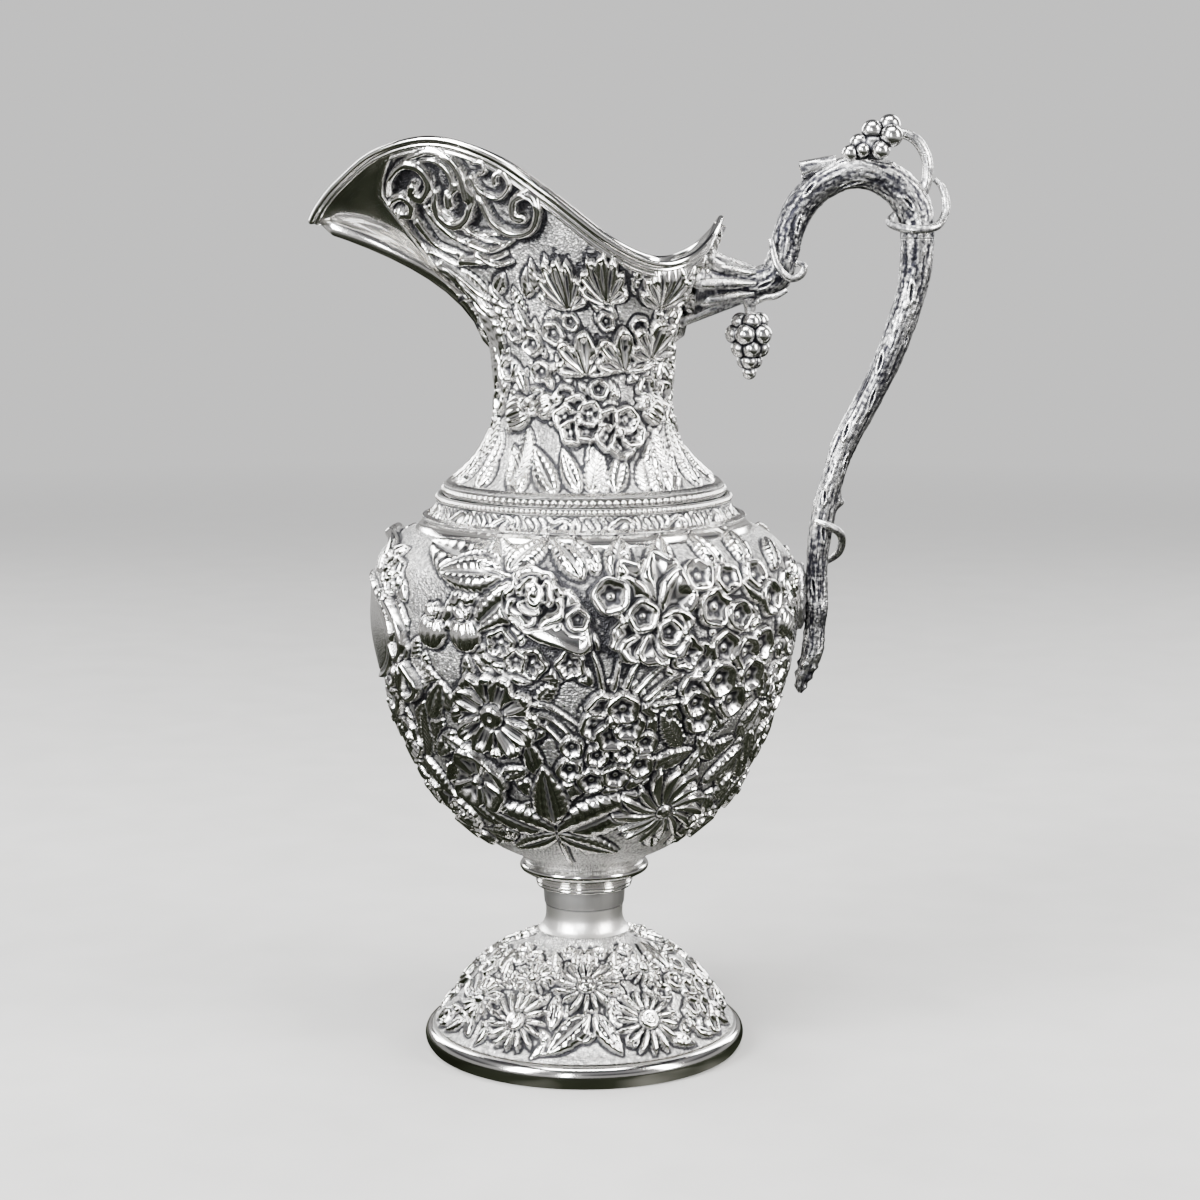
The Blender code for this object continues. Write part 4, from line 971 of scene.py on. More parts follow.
def silver(name, stops, rough, grain, grain_size, mottle=(90.0, 0.22), stretch=(1, 1, 1)):
    """Silver whose colour and polish follow the tarnish and painted shade of each point, with a fine worn
    surface.
    """
    material, tree, shader = shader_nodes(name)
    link = tree.links.new
    place = add(tree, "ShaderNodeTexCoord")
    scale = add(tree, "ShaderNodeMapping")
    scale.inputs["Scale"].default_value = stretch
    link(place.outputs["Object"], scale.inputs["Vector"])
    cloud = add(tree, "ShaderNodeTexNoise", Scale=mottle[0], Detail=4.0, Roughness=0.6)
    fine = add(tree, "ShaderNodeTexNoise", Scale=grain_size, Detail=3.0, Roughness=0.65)
    link(scale.outputs["Vector"], cloud.inputs["Vector"])
    link(scale.outputs["Vector"], fine.inputs["Vector"])
    # per-point tarnish with the painted shade of hollows, creases and joins
    amount = add(tree, "ShaderNodeAttribute", attribute_name="tarnish_and_shade")
    stain = add(tree, "ShaderNodeMath", operation="MULTIPLY_ADD")
    link(cloud.outputs["Fac"], stain.inputs[0])
    stain.inputs[1].default_value = mottle[1]
    link(amount.outputs["Fac"], stain.inputs[2])
    less = add(tree, "ShaderNodeMath", operation="SUBTRACT", use_clamp=True)
    link(stain.outputs[0], less.inputs[0])
    less.inputs[1].default_value = mottle[1] / 2
    link(ramp(tree, less.outputs[0], stops), shader.inputs["Base Color"])
    link(ramp(tree, less.outputs[0], [(0.0, (rough[0],) * 3), (0.75, (rough[1],) * 3)]),
         shader.inputs["Roughness"])
    shader.inputs["Metallic"].default_value = 1.0
    relief = add(tree, "ShaderNodeBump", Strength=grain, Distance=0.0002)
    link(fine.outputs["Fac"], relief.inputs["Height"])
    pricks = add(tree, "ShaderNodeTexVoronoi", Scale=1300.0)
    link(place.outputs["Object"], pricks.inputs["Vector"])
    matt = add(tree, "ShaderNodeAttribute", attribute_name="ground")
    stipple = add(tree, "ShaderNodeBump", Distance=0.0004)
    link(matt.outputs["Fac"], stipple.inputs["Strength"])
    link(pricks.outputs["Distance"], stipple.inputs["Height"])
    link(relief.outputs["Normal"], stipple.inputs["Normal"])
    link(stipple.outputs["Normal"], shader.inputs["Normal"])
    return material


BRIGHT = (0.93, 0.915, 0.885)
GREY = (0.30, 0.298, 0.294)
DARK = (0.03, 0.03, 0.033)
CHASED = silver("chased_silver", [(0.0, BRIGHT), (0.30, (0.74, 0.73, 0.71)), (0.62, GREY), (1.0, DARK)],
                (0.12, 0.5), 0.2, 1400.0)
BRUSHED = silver("brushed_silver", [(0.0, BRIGHT), (0.5, GREY), (1.0, DARK)], (0.36, 0.5), 0.6, 500.0,
                 stretch=(1, 1, 0.1))
POLISHED = silver("polished_silver", [(0.0, BRIGHT), (0.5, (0.7, 0.69, 0.67)), (1.0, DARK)], (0.10, 0.35),
                  0.05, 900.0)
CAST_TONES = [(0.0, (0.93, 0.92, 0.90)), (0.35, (0.42, 0.42, 0.42)), (0.7, (0.07, 0.07, 0.075)),
              (1.0, (0.015, 0.015, 0.02))]
CAST = silver("cast_silver", CAST_TONES, (0.20, 0.5), 0.9, 1100.0, mottle=(620.0, 1.7))
BERRY = silver("berry_silver", CAST_TONES, (0.14, 0.4), 0.1, 900.0)


# ---------------------------------------------------------------- turned and plain pieces
def turned(name, profile, tarnish_and_shade, material, slot, node, columns=192):
    """A closed turned ring from a closed (radius, height) profile that runs up its outer side."""
    rows = np.array(profile, float)
    values = {"tarnish_and_shade": np.repeat(tarnish_and_shade, columns)}
    obj = make_mesh(name, revolve(rows, columns), grid_faces(len(rows), columns, looped=True), values)
    obj.data.set_sharp_from_angle(angle=math.radians(50))
    return piece(obj, material, slot, node)


def arc(cx, cz, r, start, end, steps):
    angles = np.radians(np.linspace(start, end, steps))
    return [(cx + r * math.cos(a), cz + r * math.sin(a)) for a in angles]


def turned_pieces():
    high = FOOT_HIGH[2]
    inner = FOOT_R - FOOT_RIM_W
    groove = FOOT_R - FOOT_RIM_W / 2
    half = FOOT_R - groove
    round_over = [(groove + half * math.sin(a), high / 2 * (1 + math.cos(a)))
                  for a in np.radians(np.linspace(140, 22, 28))]
    collar = [(groove + 0.9, high - 0.9), (groove + 0.2, high - 0.35), (groove - 0.6, high - 0.3),
              (groove - 1.0, high), (inner, high)]
    foot = [(inner, 0.0), (FOOT_R - FOOT_RIM_W / 4 - 0.4, 0.0), (FOOT_R - FOOT_RIM_W / 4, 0.25),
            *round_over[1:], *collar]
    # painted shade under the foot rim and in the groove of its collar
    dark = [0.3, 0.2, 0.15] + [0.05] * (len(round_over) - 1) + [0.5, 0.7, 0.5, 0.2, 0.3]
    turned("foot_rim_turned", foot, dark, POLISHED, "polished_silver", "foot_rim")

    bore = STEM_R - 1.5
    low, tall = STEM_LOW[2] - 0.2, STEM_HIGH[2] - STEM_LOW[2] + 0.4
    outline = catmull([(1.17, 0.0), (1.07, 0.10), (0.99, 0.30), (1.0, 0.58), (1.02, 0.60), (1.035, 0.70),
                       (1.045, 0.85), (1.05, 1.0)], 6)
    outer = [(STEM_R * s, low + tall * h) for s, h in outline]
    shade = [0.12 if h < 0.08 else (0.02 if h < 0.57 else (0.8 if h < 0.60 else 0.42)) for s, h in outline]
    turned("foot_stem_turned", [(bore, low), *outer, (bore, low + tall)], [0.3, *shade, 0.3],
           BRUSHED, "chased_silver", "foot_stem")

    low, high, r = FILLET_LOW[2] - 0.1, FILLET_HIGH[2] + 0.1, (FILLET_HIGH[0] - FILLET_LOW[0]) / 2
    tall = high - low
    base = STEM_R * 1.1
    fillet = [(base + 0.6, low), *arc(base + 1.0, low + 0.75, 0.75, -60, 75, 8),
              *arc(base + 1.4, low + 2.1, 0.75, -70, 60, 8),
              *catmull([(base + 1.6, low + 0.48 * tall), (base + 0.40 * (r - base), low + 0.62 * tall),
                        (base + 0.72 * (r - base), low + 0.86 * tall), (r, high - 0.3)], 6), (r, high)]
    shade = [0.5, *([0.1] * 7), 0.5, 0.6, *([0.08] * 7), 0.5, *([0.1] * (len(fillet) - 19)), 0.3]
    turned("stem_fillet_turned", [(bore, low), *fillet, (bore, high)], [0.3, *shade, 0.3],
           POLISHED, "polished_silver", "stem_fillet")

    low, high, r = KNOP_LOW[2] - 0.1, KNOP_HIGH[2] + 0.1, (KNOP_HIGH[0] - KNOP_LOW[0]) / 2
    mid = (low + high) / 2
    knop = [(r - 2.4, low), (r - 2.2, low + 0.5), *arc(r - 1.6, mid - 0.15, 1.6, -80, 80, 16),
            (r - 1.9, high - 0.3), (r - 2.1, high)]
    shade = [0.5, 0.5, *([0.06] * 16), 0.5, 0.4]
    turned("knop_ring_turned", [(bore, low), *knop, (bore, high)], [0.3, *shade, 0.3],
           POLISHED, "polished_silver", "knop_ring")


def tube_faces(rows, sides):
    """Side faces and end fans; the last two vertices are the middles of the ends."""
    quads = grid_faces(rows, sides)
    ring = np.arange(sides)
    after = (ring + 1) % sides
    count = rows * sides
    last = (rows - 1) * sides
    fans = np.concatenate([
        np.stack([np.full(sides, count), after, ring], axis=1),
        np.stack([np.full(sides, count + 1), last + ring, last + after], axis=1),
    ])
    return quads, fans


def ball(segments, rings):
    """Unit sphere as vertices and faces, poles closed by small fans."""
    lat = np.linspace(-90, 90, rings + 1)[1:-1]
    lon = np.arange(segments) * math.tau / segments
    cl, sl = np.cos(np.radians(lat))[:, None], np.sin(np.radians(lat))[:, None]
    grid = np.stack([cl * np.cos(lon), cl * np.sin(lon), sl * np.ones_like(lon)], axis=-1).reshape(-1, 3)
    verts = np.concatenate([grid, [[0, 0, -1], [0, 0, 1]]])
    return verts, *tube_faces(rings - 1, segments)


def balls(centres, radii, segments, rings):
    """Many balls as one set of vertices, quads and end fans."""
    verts, quads, fans = ball(segments, rings)
    centres, radii = np.asarray(centres), np.asarray(radii)
    every = (verts[None] * radii[:, None, None] + centres[:, None]).reshape(-1, 3)
    shift = (np.arange(len(centres)) * len(verts))[:, None, None]
    return every, (quads[None] + shift).reshape(-1, 4), (fans[None] + shift).reshape(-1, 3)


def bead_row(node, name):
    """A row of beads standing in a shallow channel between two fine wires, with painted shade in the channel
    and on the beads' inner sides.
    """
    low, high = box_mm(node)
    wire = (high[2] - low[2]) / 2
    ring = (high[0] - low[0]) / 2 - wire
    mid = (high[2] + low[2]) / 2
    count = int(math.tau * ring / (2.12 * wire))
    a = np.arange(count) * math.tau / count
    centres = np.stack([(ring + 0.15) * np.cos(a), (ring + 0.15) * np.sin(a), np.full(count, mid)], axis=1)
    verts, quads, fans = balls(centres, np.full(count, 0.98 * wire), 14, 10)
    edge = mid + wire
    backing = [(ring - 1.2, mid - wire - 0.2), (ring + 0.5 * wire, mid - wire - 0.2),
               (ring + 0.5 * wire, mid - wire), (ring - 0.35 * wire, mid - 0.8 * wire),
               (ring - 0.35 * wire, mid + 0.8 * wire), (ring + 0.2 * wire, edge),
               (ring + 0.2 * wire, edge + 0.25), (ring - 1.2, edge + 0.25)]
    columns = 240
    strip = revolve(np.array(backing), columns).reshape(-1, 3)
    start = len(verts)
    faces = grid_faces(len(backing), columns, start, looped=True)
    # painted shade: the channel's backing dark, and each bead darker on its side towards the channel
    tarnish_and_shade = np.concatenate([np.full(start, 0.0), np.full(len(strip), 0.85)])
    depth = np.clip(1 - (np.hypot(verts[:, 0], verts[:, 1]) - ring) / wire, 0, 1)
    tarnish_and_shade[:start] = np.clip(1.1 * depth - 0.35, 0, 0.85)
    obj = make_mesh(name, np.concatenate([verts, strip]), np.concatenate([quads, faces]),
                    {"tarnish_and_shade": tarnish_and_shade}, fans)
    return piece(obj, POLISHED, "polished_silver", node)


def mouth_rim():
    """The moulded strip round the mouth: two rounded ridges outside and a plain lip inside."""
    point, _, up, out = rim_axes(0.9)
    section = [*arc(0.15, 0.55, 1.15, -45, 170, 12), (-1.0, 0.2), (-1.05, -1.2), (-0.9, -3.6),
               (-0.3, -4.3), (0.3, -4.4), *arc(0.35, -3.75, 0.55, -80, 70, 7), (0.45, -3.0), (0.4, -2.4),
               *arc(0.35, -1.55, 0.75, -70, 60, 7)]
    rows = np.array([point + out * x + up * z for x, z in section]).transpose(1, 0, 2)
    quads = grid_faces(len(rows), len(section), looped=True)
    shade = np.array([0.05] * 12 + [0.05, 0.05, 0.05, 0.1, 0.2] + [0.1] * 7 + [0.55, 0.55] + [0.25, 0.1,
            0.05, 0.05, 0.05, 0.2, 0.5])
    obj = make_mesh("mouth_rim_strip", rows, quads, {"tarnish_and_shade": np.tile(shade, len(rows))})
    return piece(obj, POLISHED, "polished_silver", "mouth_rim")


# ---------------------------------------------------------------- handle
def sweep(path, radii, sides):
    """Frames along a path: centres, and the two unit directions across it, without twist."""
    path = np.asarray(path, float)
    tangent = np.gradient(path, axis=0)
    tangent /= np.linalg.norm(tangent, axis=1, keepdims=True)
    side = np.zeros_like(path)
    start = np.array([0.0, 1.0, 0.0])
    if abs(tangent[0] @ start) > 0.9:
        start = np.array([1.0, 0.0, 0.0])
    for i in range(len(path)):
        start = start - tangent[i] * (start @ tangent[i])
        start /= np.linalg.norm(start)
        side[i] = start
    other = np.cross(tangent, side)
    a = np.arange(sides) * math.tau / sides
    ring = side[:, None] * np.cos(a)[None, :, None] + other[:, None] * np.sin(a)[None, :, None]
    return path[:, None] + ring * np.asarray(radii)[:, None, None], ring, tangent


BRANCH_R = 6.2
SHAFT_R = 4.3
HANDLE_SPAN = 72.6
GAP = 0.3
PAD_T = 1.5
ROOT_Z = LIP_Z - 23.0
BRANCH_X = LIP_REACH + HANDLE_SPAN
BELLY_Z = BODY_LOW[2] + 0.76 * BODY_H
SHAFT_X = BODY_R + GAP + PAD_T + GAP + SHAFT_R


def arch_points():
    b, x0, z0 = BRANCH_R, LIP_REACH, ROOT_Z
    start = [(x0 - 9, z0 + 0.6, 2.15), (x0 - 4, z0 + 0.4, 1.7), (x0 + 1, z0, 1.32)]
    shape = [(0.10, -0.5, 1.08), (0.19, -0.4, 1), (0.28, 2.6, 1), (0.325, 10.5, 0.92), (0.35, 19, 0.94),
             (0.41, 28.5, 0.97), (0.52, 36, 0.94), (0.66, 40, 0.94), (0.80, 38.8, 0.98),
             (0.915, 33.5, 1.03), (0.985, 25.5, 1.06)]
    rise = BRANCH_X - x0
    return [(x, 0, z, k * b) for x, z, k in start] + [(x0 + s * rise, 0, z0 + z, k * b) for s, z, k in shape]


def shaft_points():
    top, pad = (BRANCH_X, ROOT_Z + 16), (SHAFT_X, BELLY_Z + 8.6)
    shape = [(0.0, 0.0, 1.45), (0.09, 0.02, 1.35), (0.17, 0.07, 1.26), (0.25, 0.16, 1.23),
             (0.36, 0.30, 1.17), (0.47, 0.48, 1.13), (0.60, 0.71, 1.05), (0.69, 0.82, 1.0),
             (0.80, 0.92, 1.02), (0.92, 0.985, 0.96), (1.0, 1.0, 0.95)]
    across, down = pad[0] - top[0], pad[1] - top[1]
    return [(top[0] + i * across, 0, top[1] + d * down, k * SHAFT_R) for d, i, k in shape]


def tail_points():
    x0, z0, s = SHAFT_X, BELLY_Z, SHAFT_R
    shape = [(0, 0, 1), (0.3, -4, 1.06), (-0.2, -11, 0.93), (-1, -19, 1.0), (-3, -26, 0.8),
             (-4.8, -31.5, 0.55), (-5.6, -36, 0.2)]
    return [(x0 + x, 0, z0 + z, k * s) for x, z, k in shape]


def neck_wall():
    """A function that says how far out the neck stands, under the handle, at a (y, z)."""
    skin = neck_points()[::2, ::2].reshape(-1, 3)
    skin = skin[(skin[:, 0] > 0) & (np.abs(skin[:, 2] - ROOT_Z) < 30)]

    def wall(y, z):
        return skin[np.argmin(np.hypot(skin[:, 1] - y, skin[:, 2] - z)), 0]
    return wall


THORN_Z = 209
THORN_TURN = math.pi / 2
# closed eyes in the bark: place along the branch, turn round it, length, width and depth
EYES = [
    (0.085, 0.15, 2.4, 1.1, 1), (0.115, -1.9, 2.2, 1.0, 1), (0.17, 0.4, 2.6, 0.8, 1),
    (0.215, -0.35, 2.2, 1.1, 1), (0.262, 0.75, 5.2, 1.2, 1.1), (0.30, -0.9, 3.0, 0.9, 1),
    (0.355, 0.2, 2.4, 1.0, 1), (0.39, 2.2, 2.6, 1.0, 1), (0.47, 0.1, 3.2, 1.1, 1),
    (0.525, -0.7, 2.6, 0.8, 1), (0.565, 0.55, 3.0, 1.0, 1), (0.61, -0.15, 3.4, 0.9, 1),
    (0.66, 0.5, 2.6, 0.9, 1), (0.70, -0.6, 2.8, 0.9, 1), (0.745, 0.35, 2.4, 0.9, 1),
    (0.79, -0.2, 2.8, 1.0, 1), (0.86, 0.3, 2.4, 1.0, 1), (0.14, 2.6, 2.4, 1.0, 1),
    (0.24, 2.9, 3.0, 1.0, 1), (0.43, 2.7, 3.0, 1.0, 1), (0.50, 3.0, 2.6, 1.0, 1),
    (0.59, 2.5, 3.0, 0.9, 1), (0.68, 3.1, 2.6, 0.9, 1), (0.77, 2.8, 2.6, 0.9, 1),
]


def bark(line, along, sides):
    """Height and tarnish of the bark, with its eyes, its thorn and the lobes of the last bud; painted shade
    darkens the eyes' slits and the hollows.
    """
    rng = np.random.default_rng(21)
    total = along[-1]
    shape = (len(line), sides)
    unit = len(line) / total
    coarse = lattice_noise(shape, 7 * unit, sides / 30, rng)
    grain = coarse + 0.6 * lattice_noise(shape, 3 * unit, sides / 50, rng)
    lumps = lattice_noise(shape, 12 * unit, sides / 4, rng)
    pits = lattice_noise(shape, 1.1 * unit, sides / 34, rng)
    height = 0.19 * grain + 0.42 * lumps + 0.15 * pits
    angle = np.arange(sides) * math.tau / sides
    # darker where the grain and the lumps sink, lighter where they rise
    tarnish_and_shade = 0.30 - 0.35 * grain - 0.25 * lumps

    def eye(at, turn, length, width, depth):
        """A closed eye in the bark: a lens-shaped slit with raised lips, painted shade in the slit and
        lighter lips.
        """
        x = line[:, 3][:, None] * np.angle(np.exp(1j * (angle[None, :] - turn)))
        y = (along - at)[:, None] + 0 * x
        m = np.hypot((x + 0.15 * y) / (0.75 * width), y / (1.15 * length))
        lips = bump(m - 1.15, 0.35)
        pit = bump(m, 0.75)
        return depth * (0.40 * lips - 0.9 * pit), 1.1 * pit - 0.35 * lips
    for share, turn, length, width, depth in EYES:
        rise, dark = eye(share * total, turn + math.pi, length, width, depth)
        height, tarnish_and_shade = height + rise, tarnish_and_shade + dark
    thorn_at = np.argmin(np.abs(line[:, 2] - THORN_Z) + np.where(line[:, 0] > BODY_R, 0, 1e3))
    x = line[:, 3][:, None] * np.angle(np.exp(1j * (angle[None, :] - THORN_TURN)))
    y = (along - along[thorn_at])[:, None] + 0 * x
    height = height + 2.2 * np.exp(-((x / 1.6) ** 2 + (y / 2.4) ** 2))
    last = np.clip((along - total + 14) / 3, 0, 1)[:, None]
    swell = 0.9 * (np.sin((along - total) / 4.4 * math.pi) ** 2)[:,
            None] * (np.cos(angle * 2.5) ** 2)[None, :]
    height = height * (1 - 0.6 * last) + last * swell
    # painted shade in the hollows of the bark
    hollow = box_blur(box_blur(height, 5, 1, True), 5, 0, False) - height
    return height, np.clip(tarnish_and_shade * 0.8 + 2.4 * hollow + 0.36, 0, 1)


def handle_branch():
    """The bark-covered branch in its five castings, one continuous surface."""
    knots = [*arch_points(), *shaft_points(), *tail_points()]
    per_span = 26
    line = catmull(knots, per_span)
    sides = 128
    along = np.concatenate([[0], np.cumsum(np.linalg.norm(np.diff(line[:, :3], axis=0), axis=1))])
    surface, ring, _ = sweep(line[:, :3], line[:, 3], sides)
    height, tarnish_and_shade = bark(line, along, sides)
    taper = np.clip(along / 6, 0, 1)[:, None]
    surface = surface + ring * (height * (0.35 + 0.65 * taper))[:, :, None]
    wall = neck_wall()
    sunk = 2.2  # the root ends inside the neck's sheet
    for point in surface[:2 * per_span].reshape(-1, 3):
        point[0] = max(point[0], wall(point[1], point[2]) - sunk)
    line[0, 0] = max(line[0, 0], wall(0, line[0, 2]) - sunk)

    for node, start, end in [("handle_calyx", 0, 2), ("handle_root", 2, 6), ("handle_arch", 6, 14),
                             ("handle_shaft", 14, 24), ("handle_tail", 24, len(knots) - 1)]:
        a, b = start * per_span, end * per_span + 1
        part = surface[a:b]
        quads, fans = tube_faces(b - a, sides)
        verts = np.concatenate([part.reshape(-1, 3), line[a:a + 1, :3], line[b - 1:b, :3]])
        # the bark's tarnish with its painted shade, for this casting
        dark = np.concatenate([tarnish_and_shade[a:b].reshape(-1), [0.6, 0.6]])
        obj = make_mesh(node + "_bark", verts, quads, {"tarnish_and_shade": dark}, fans)
        piece(obj, CAST, "cast_silver", node)


def calyx_strands():
    """Root-like strands that spread from the branch over the neck, with small knobs between them."""
    wall = neck_wall()
    x0, z0 = LIP_REACH, ROOT_Z
    for number in range(9):
        a = math.tau * (number + 0.5) / 9
        spread = 12.0 + 1.6 * math.sin(2.3 * number)
        y, z = math.cos(a), math.sin(a)
        far_y, far_z = spread * y + 1.4 * math.sin(1.7 * number), z0 + spread * z
        end_y, end_z = 1.2 * far_y, z0 + 1.2 * spread * z
        vine("calyx_strand_%d" % number, [
            (x0 + 13.0, 5.4 * y, z0 + 5.4 * z, 0.5), (x0 + 6.0, 6.9 * y, z0 + 6.9 * z, 1.2),
            (x0 - 0.5, 8.9 * y, z0 + 8.9 * z, 1.5), (wall(far_y, far_z) + 1.6, far_y, far_z, 1.4),
            (wall(end_y, end_z) + 0.7, end_y, end_z, 0.7),
        ])
    knobs = []
    for number in range(12):
        a = math.tau * number / 12
        reach = 10.0 + 2.0 * math.sin(1.9 * number)
        y, z = reach * math.cos(a), z0 + 0.9 * reach * math.sin(a)
        knobs.append((wall(y, z) + 1.3, y, z))
    berries("calyx_knobs", None, knobs, [2.0 + 0.5 * math.sin(2.7 * k) for k in range(12)])


def vine(name, knots, node=None, radius=1.5):
    """A tendril: a thin round wire with a slight bark, tapering at its ends."""
    line = catmull(knots, 14)
    radii = line[:, 3] * radius
    sides = 24
    surface, ring, _ = sweep(line[:, :3], radii, sides)
    rng = np.random.default_rng(len(name))
    shape = surface.shape[:2]
    grain = lattice_noise(shape, 8, sides / 12, rng)
    surface = surface + ring * (0.10 * grain)[:, :, None]
    quads, fans = tube_faces(len(line), sides)
    ends = line[[0, -1], :3]
    # darker where the grain sinks, lighter where it rises
    tarnish_and_shade = np.concatenate([np.clip(0.28 - 0.4 * grain, 0, 1).reshape(-1), [0.3, 0.3]])
    obj = make_mesh(name, np.concatenate([surface.reshape(-1, 3), ends]), quads, {"tarnish_and_shade": tarnish_and_shade}, fans)
    return piece(obj, CAST, "cast_silver", *([node] if node else []))


def berries(name, node, centres, radii):
    """Round polished berries, with painted shade where they meet."""
    verts, quads, fans = balls(centres, radii, 36, 24)
    count = len(verts) // len(centres)
    # painted shade on each ball close to its neighbours
    near = np.zeros(len(verts))
    for i, (c, r) in enumerate(zip(centres, radii)):
        gap = np.linalg.norm(verts - c, axis=1) - r
        own = np.zeros(len(verts), bool)
        own[i * count:(i + 1) * count] = True
        near = np.maximum(near, np.where(own, 0, np.clip(1 - gap / 1.3, 0, 1)))
    obj = make_mesh(name, verts, quads, {"tarnish_and_shade": 0.14 + 0.9 * near}, fans)
    return piece(obj, BERRY, "cast_silver", *([node] if node else []))


def grapes():
    x0, z0, b = BRANCH_X - 14.52, ROOT_Z + 45 + BRANCH_R, 4.0
    top = [(3.6, 0.4, 6.0, 1), (-2.8, -0.6, 4.0, 1), (4.0, -4.0, 2.0, 1.03), (1.0, 4.2, 1.4, 1),
           (-7.6, -1.6, -0.6, 0.88), (-11, -3.0, -4.2, 0.76), (0, -5.0, -3.2, 0.84),
           (-5.4, 4.0, -2.4, 0.88), (-2.6, 0.0, -1.6, 1.3), (-6.5, -3.8, -3.0, 0.7)]
    berries("top_grapes_berries", "top_grapes", [(x0 + x, y, z0 + z) for x, y, z, k in top],
            [k * b for *_, k in top])
    x0, top_z = LIP_REACH + 0.155 * HANDLE_SPAN, ROOT_Z - BRANCH_R - 8.0
    tiers = [(0, 4, 0.9, 0.85), (4.6, 5, 1.35, 0.95), (9.8, 5, 1.0, 0.85), (14.6, 3, 0.55, 0.72),
             (18.8, 1, 0.0, 0.66)]
    centres, radii = [(x0, 0, top_z - 6.0)], [1.5 * b]
    for number, (drop, count, ring, size) in enumerate(tiers):
        for index in range(count):
            angle = math.tau * (index + 0.1 + 0.37 * number) / count
            centres.append((x0 + ring * b * math.cos(angle), ring * b * math.sin(angle), top_z - drop))
            radii.append(size * b)
    berries("hanging_grapes_berries", "hanging_grapes", centres, radii)
    stalk_top = ROOT_Z - 1.05 * BRANCH_R + 0.6
    vine("grape_stalk_wire", [(x0, 0, stalk_top, 2.6), (x0, 0, stalk_top - 2.4, 1.6),
                              (x0, 0, top_z + 1.5, 1.3)], "grape_stalk")


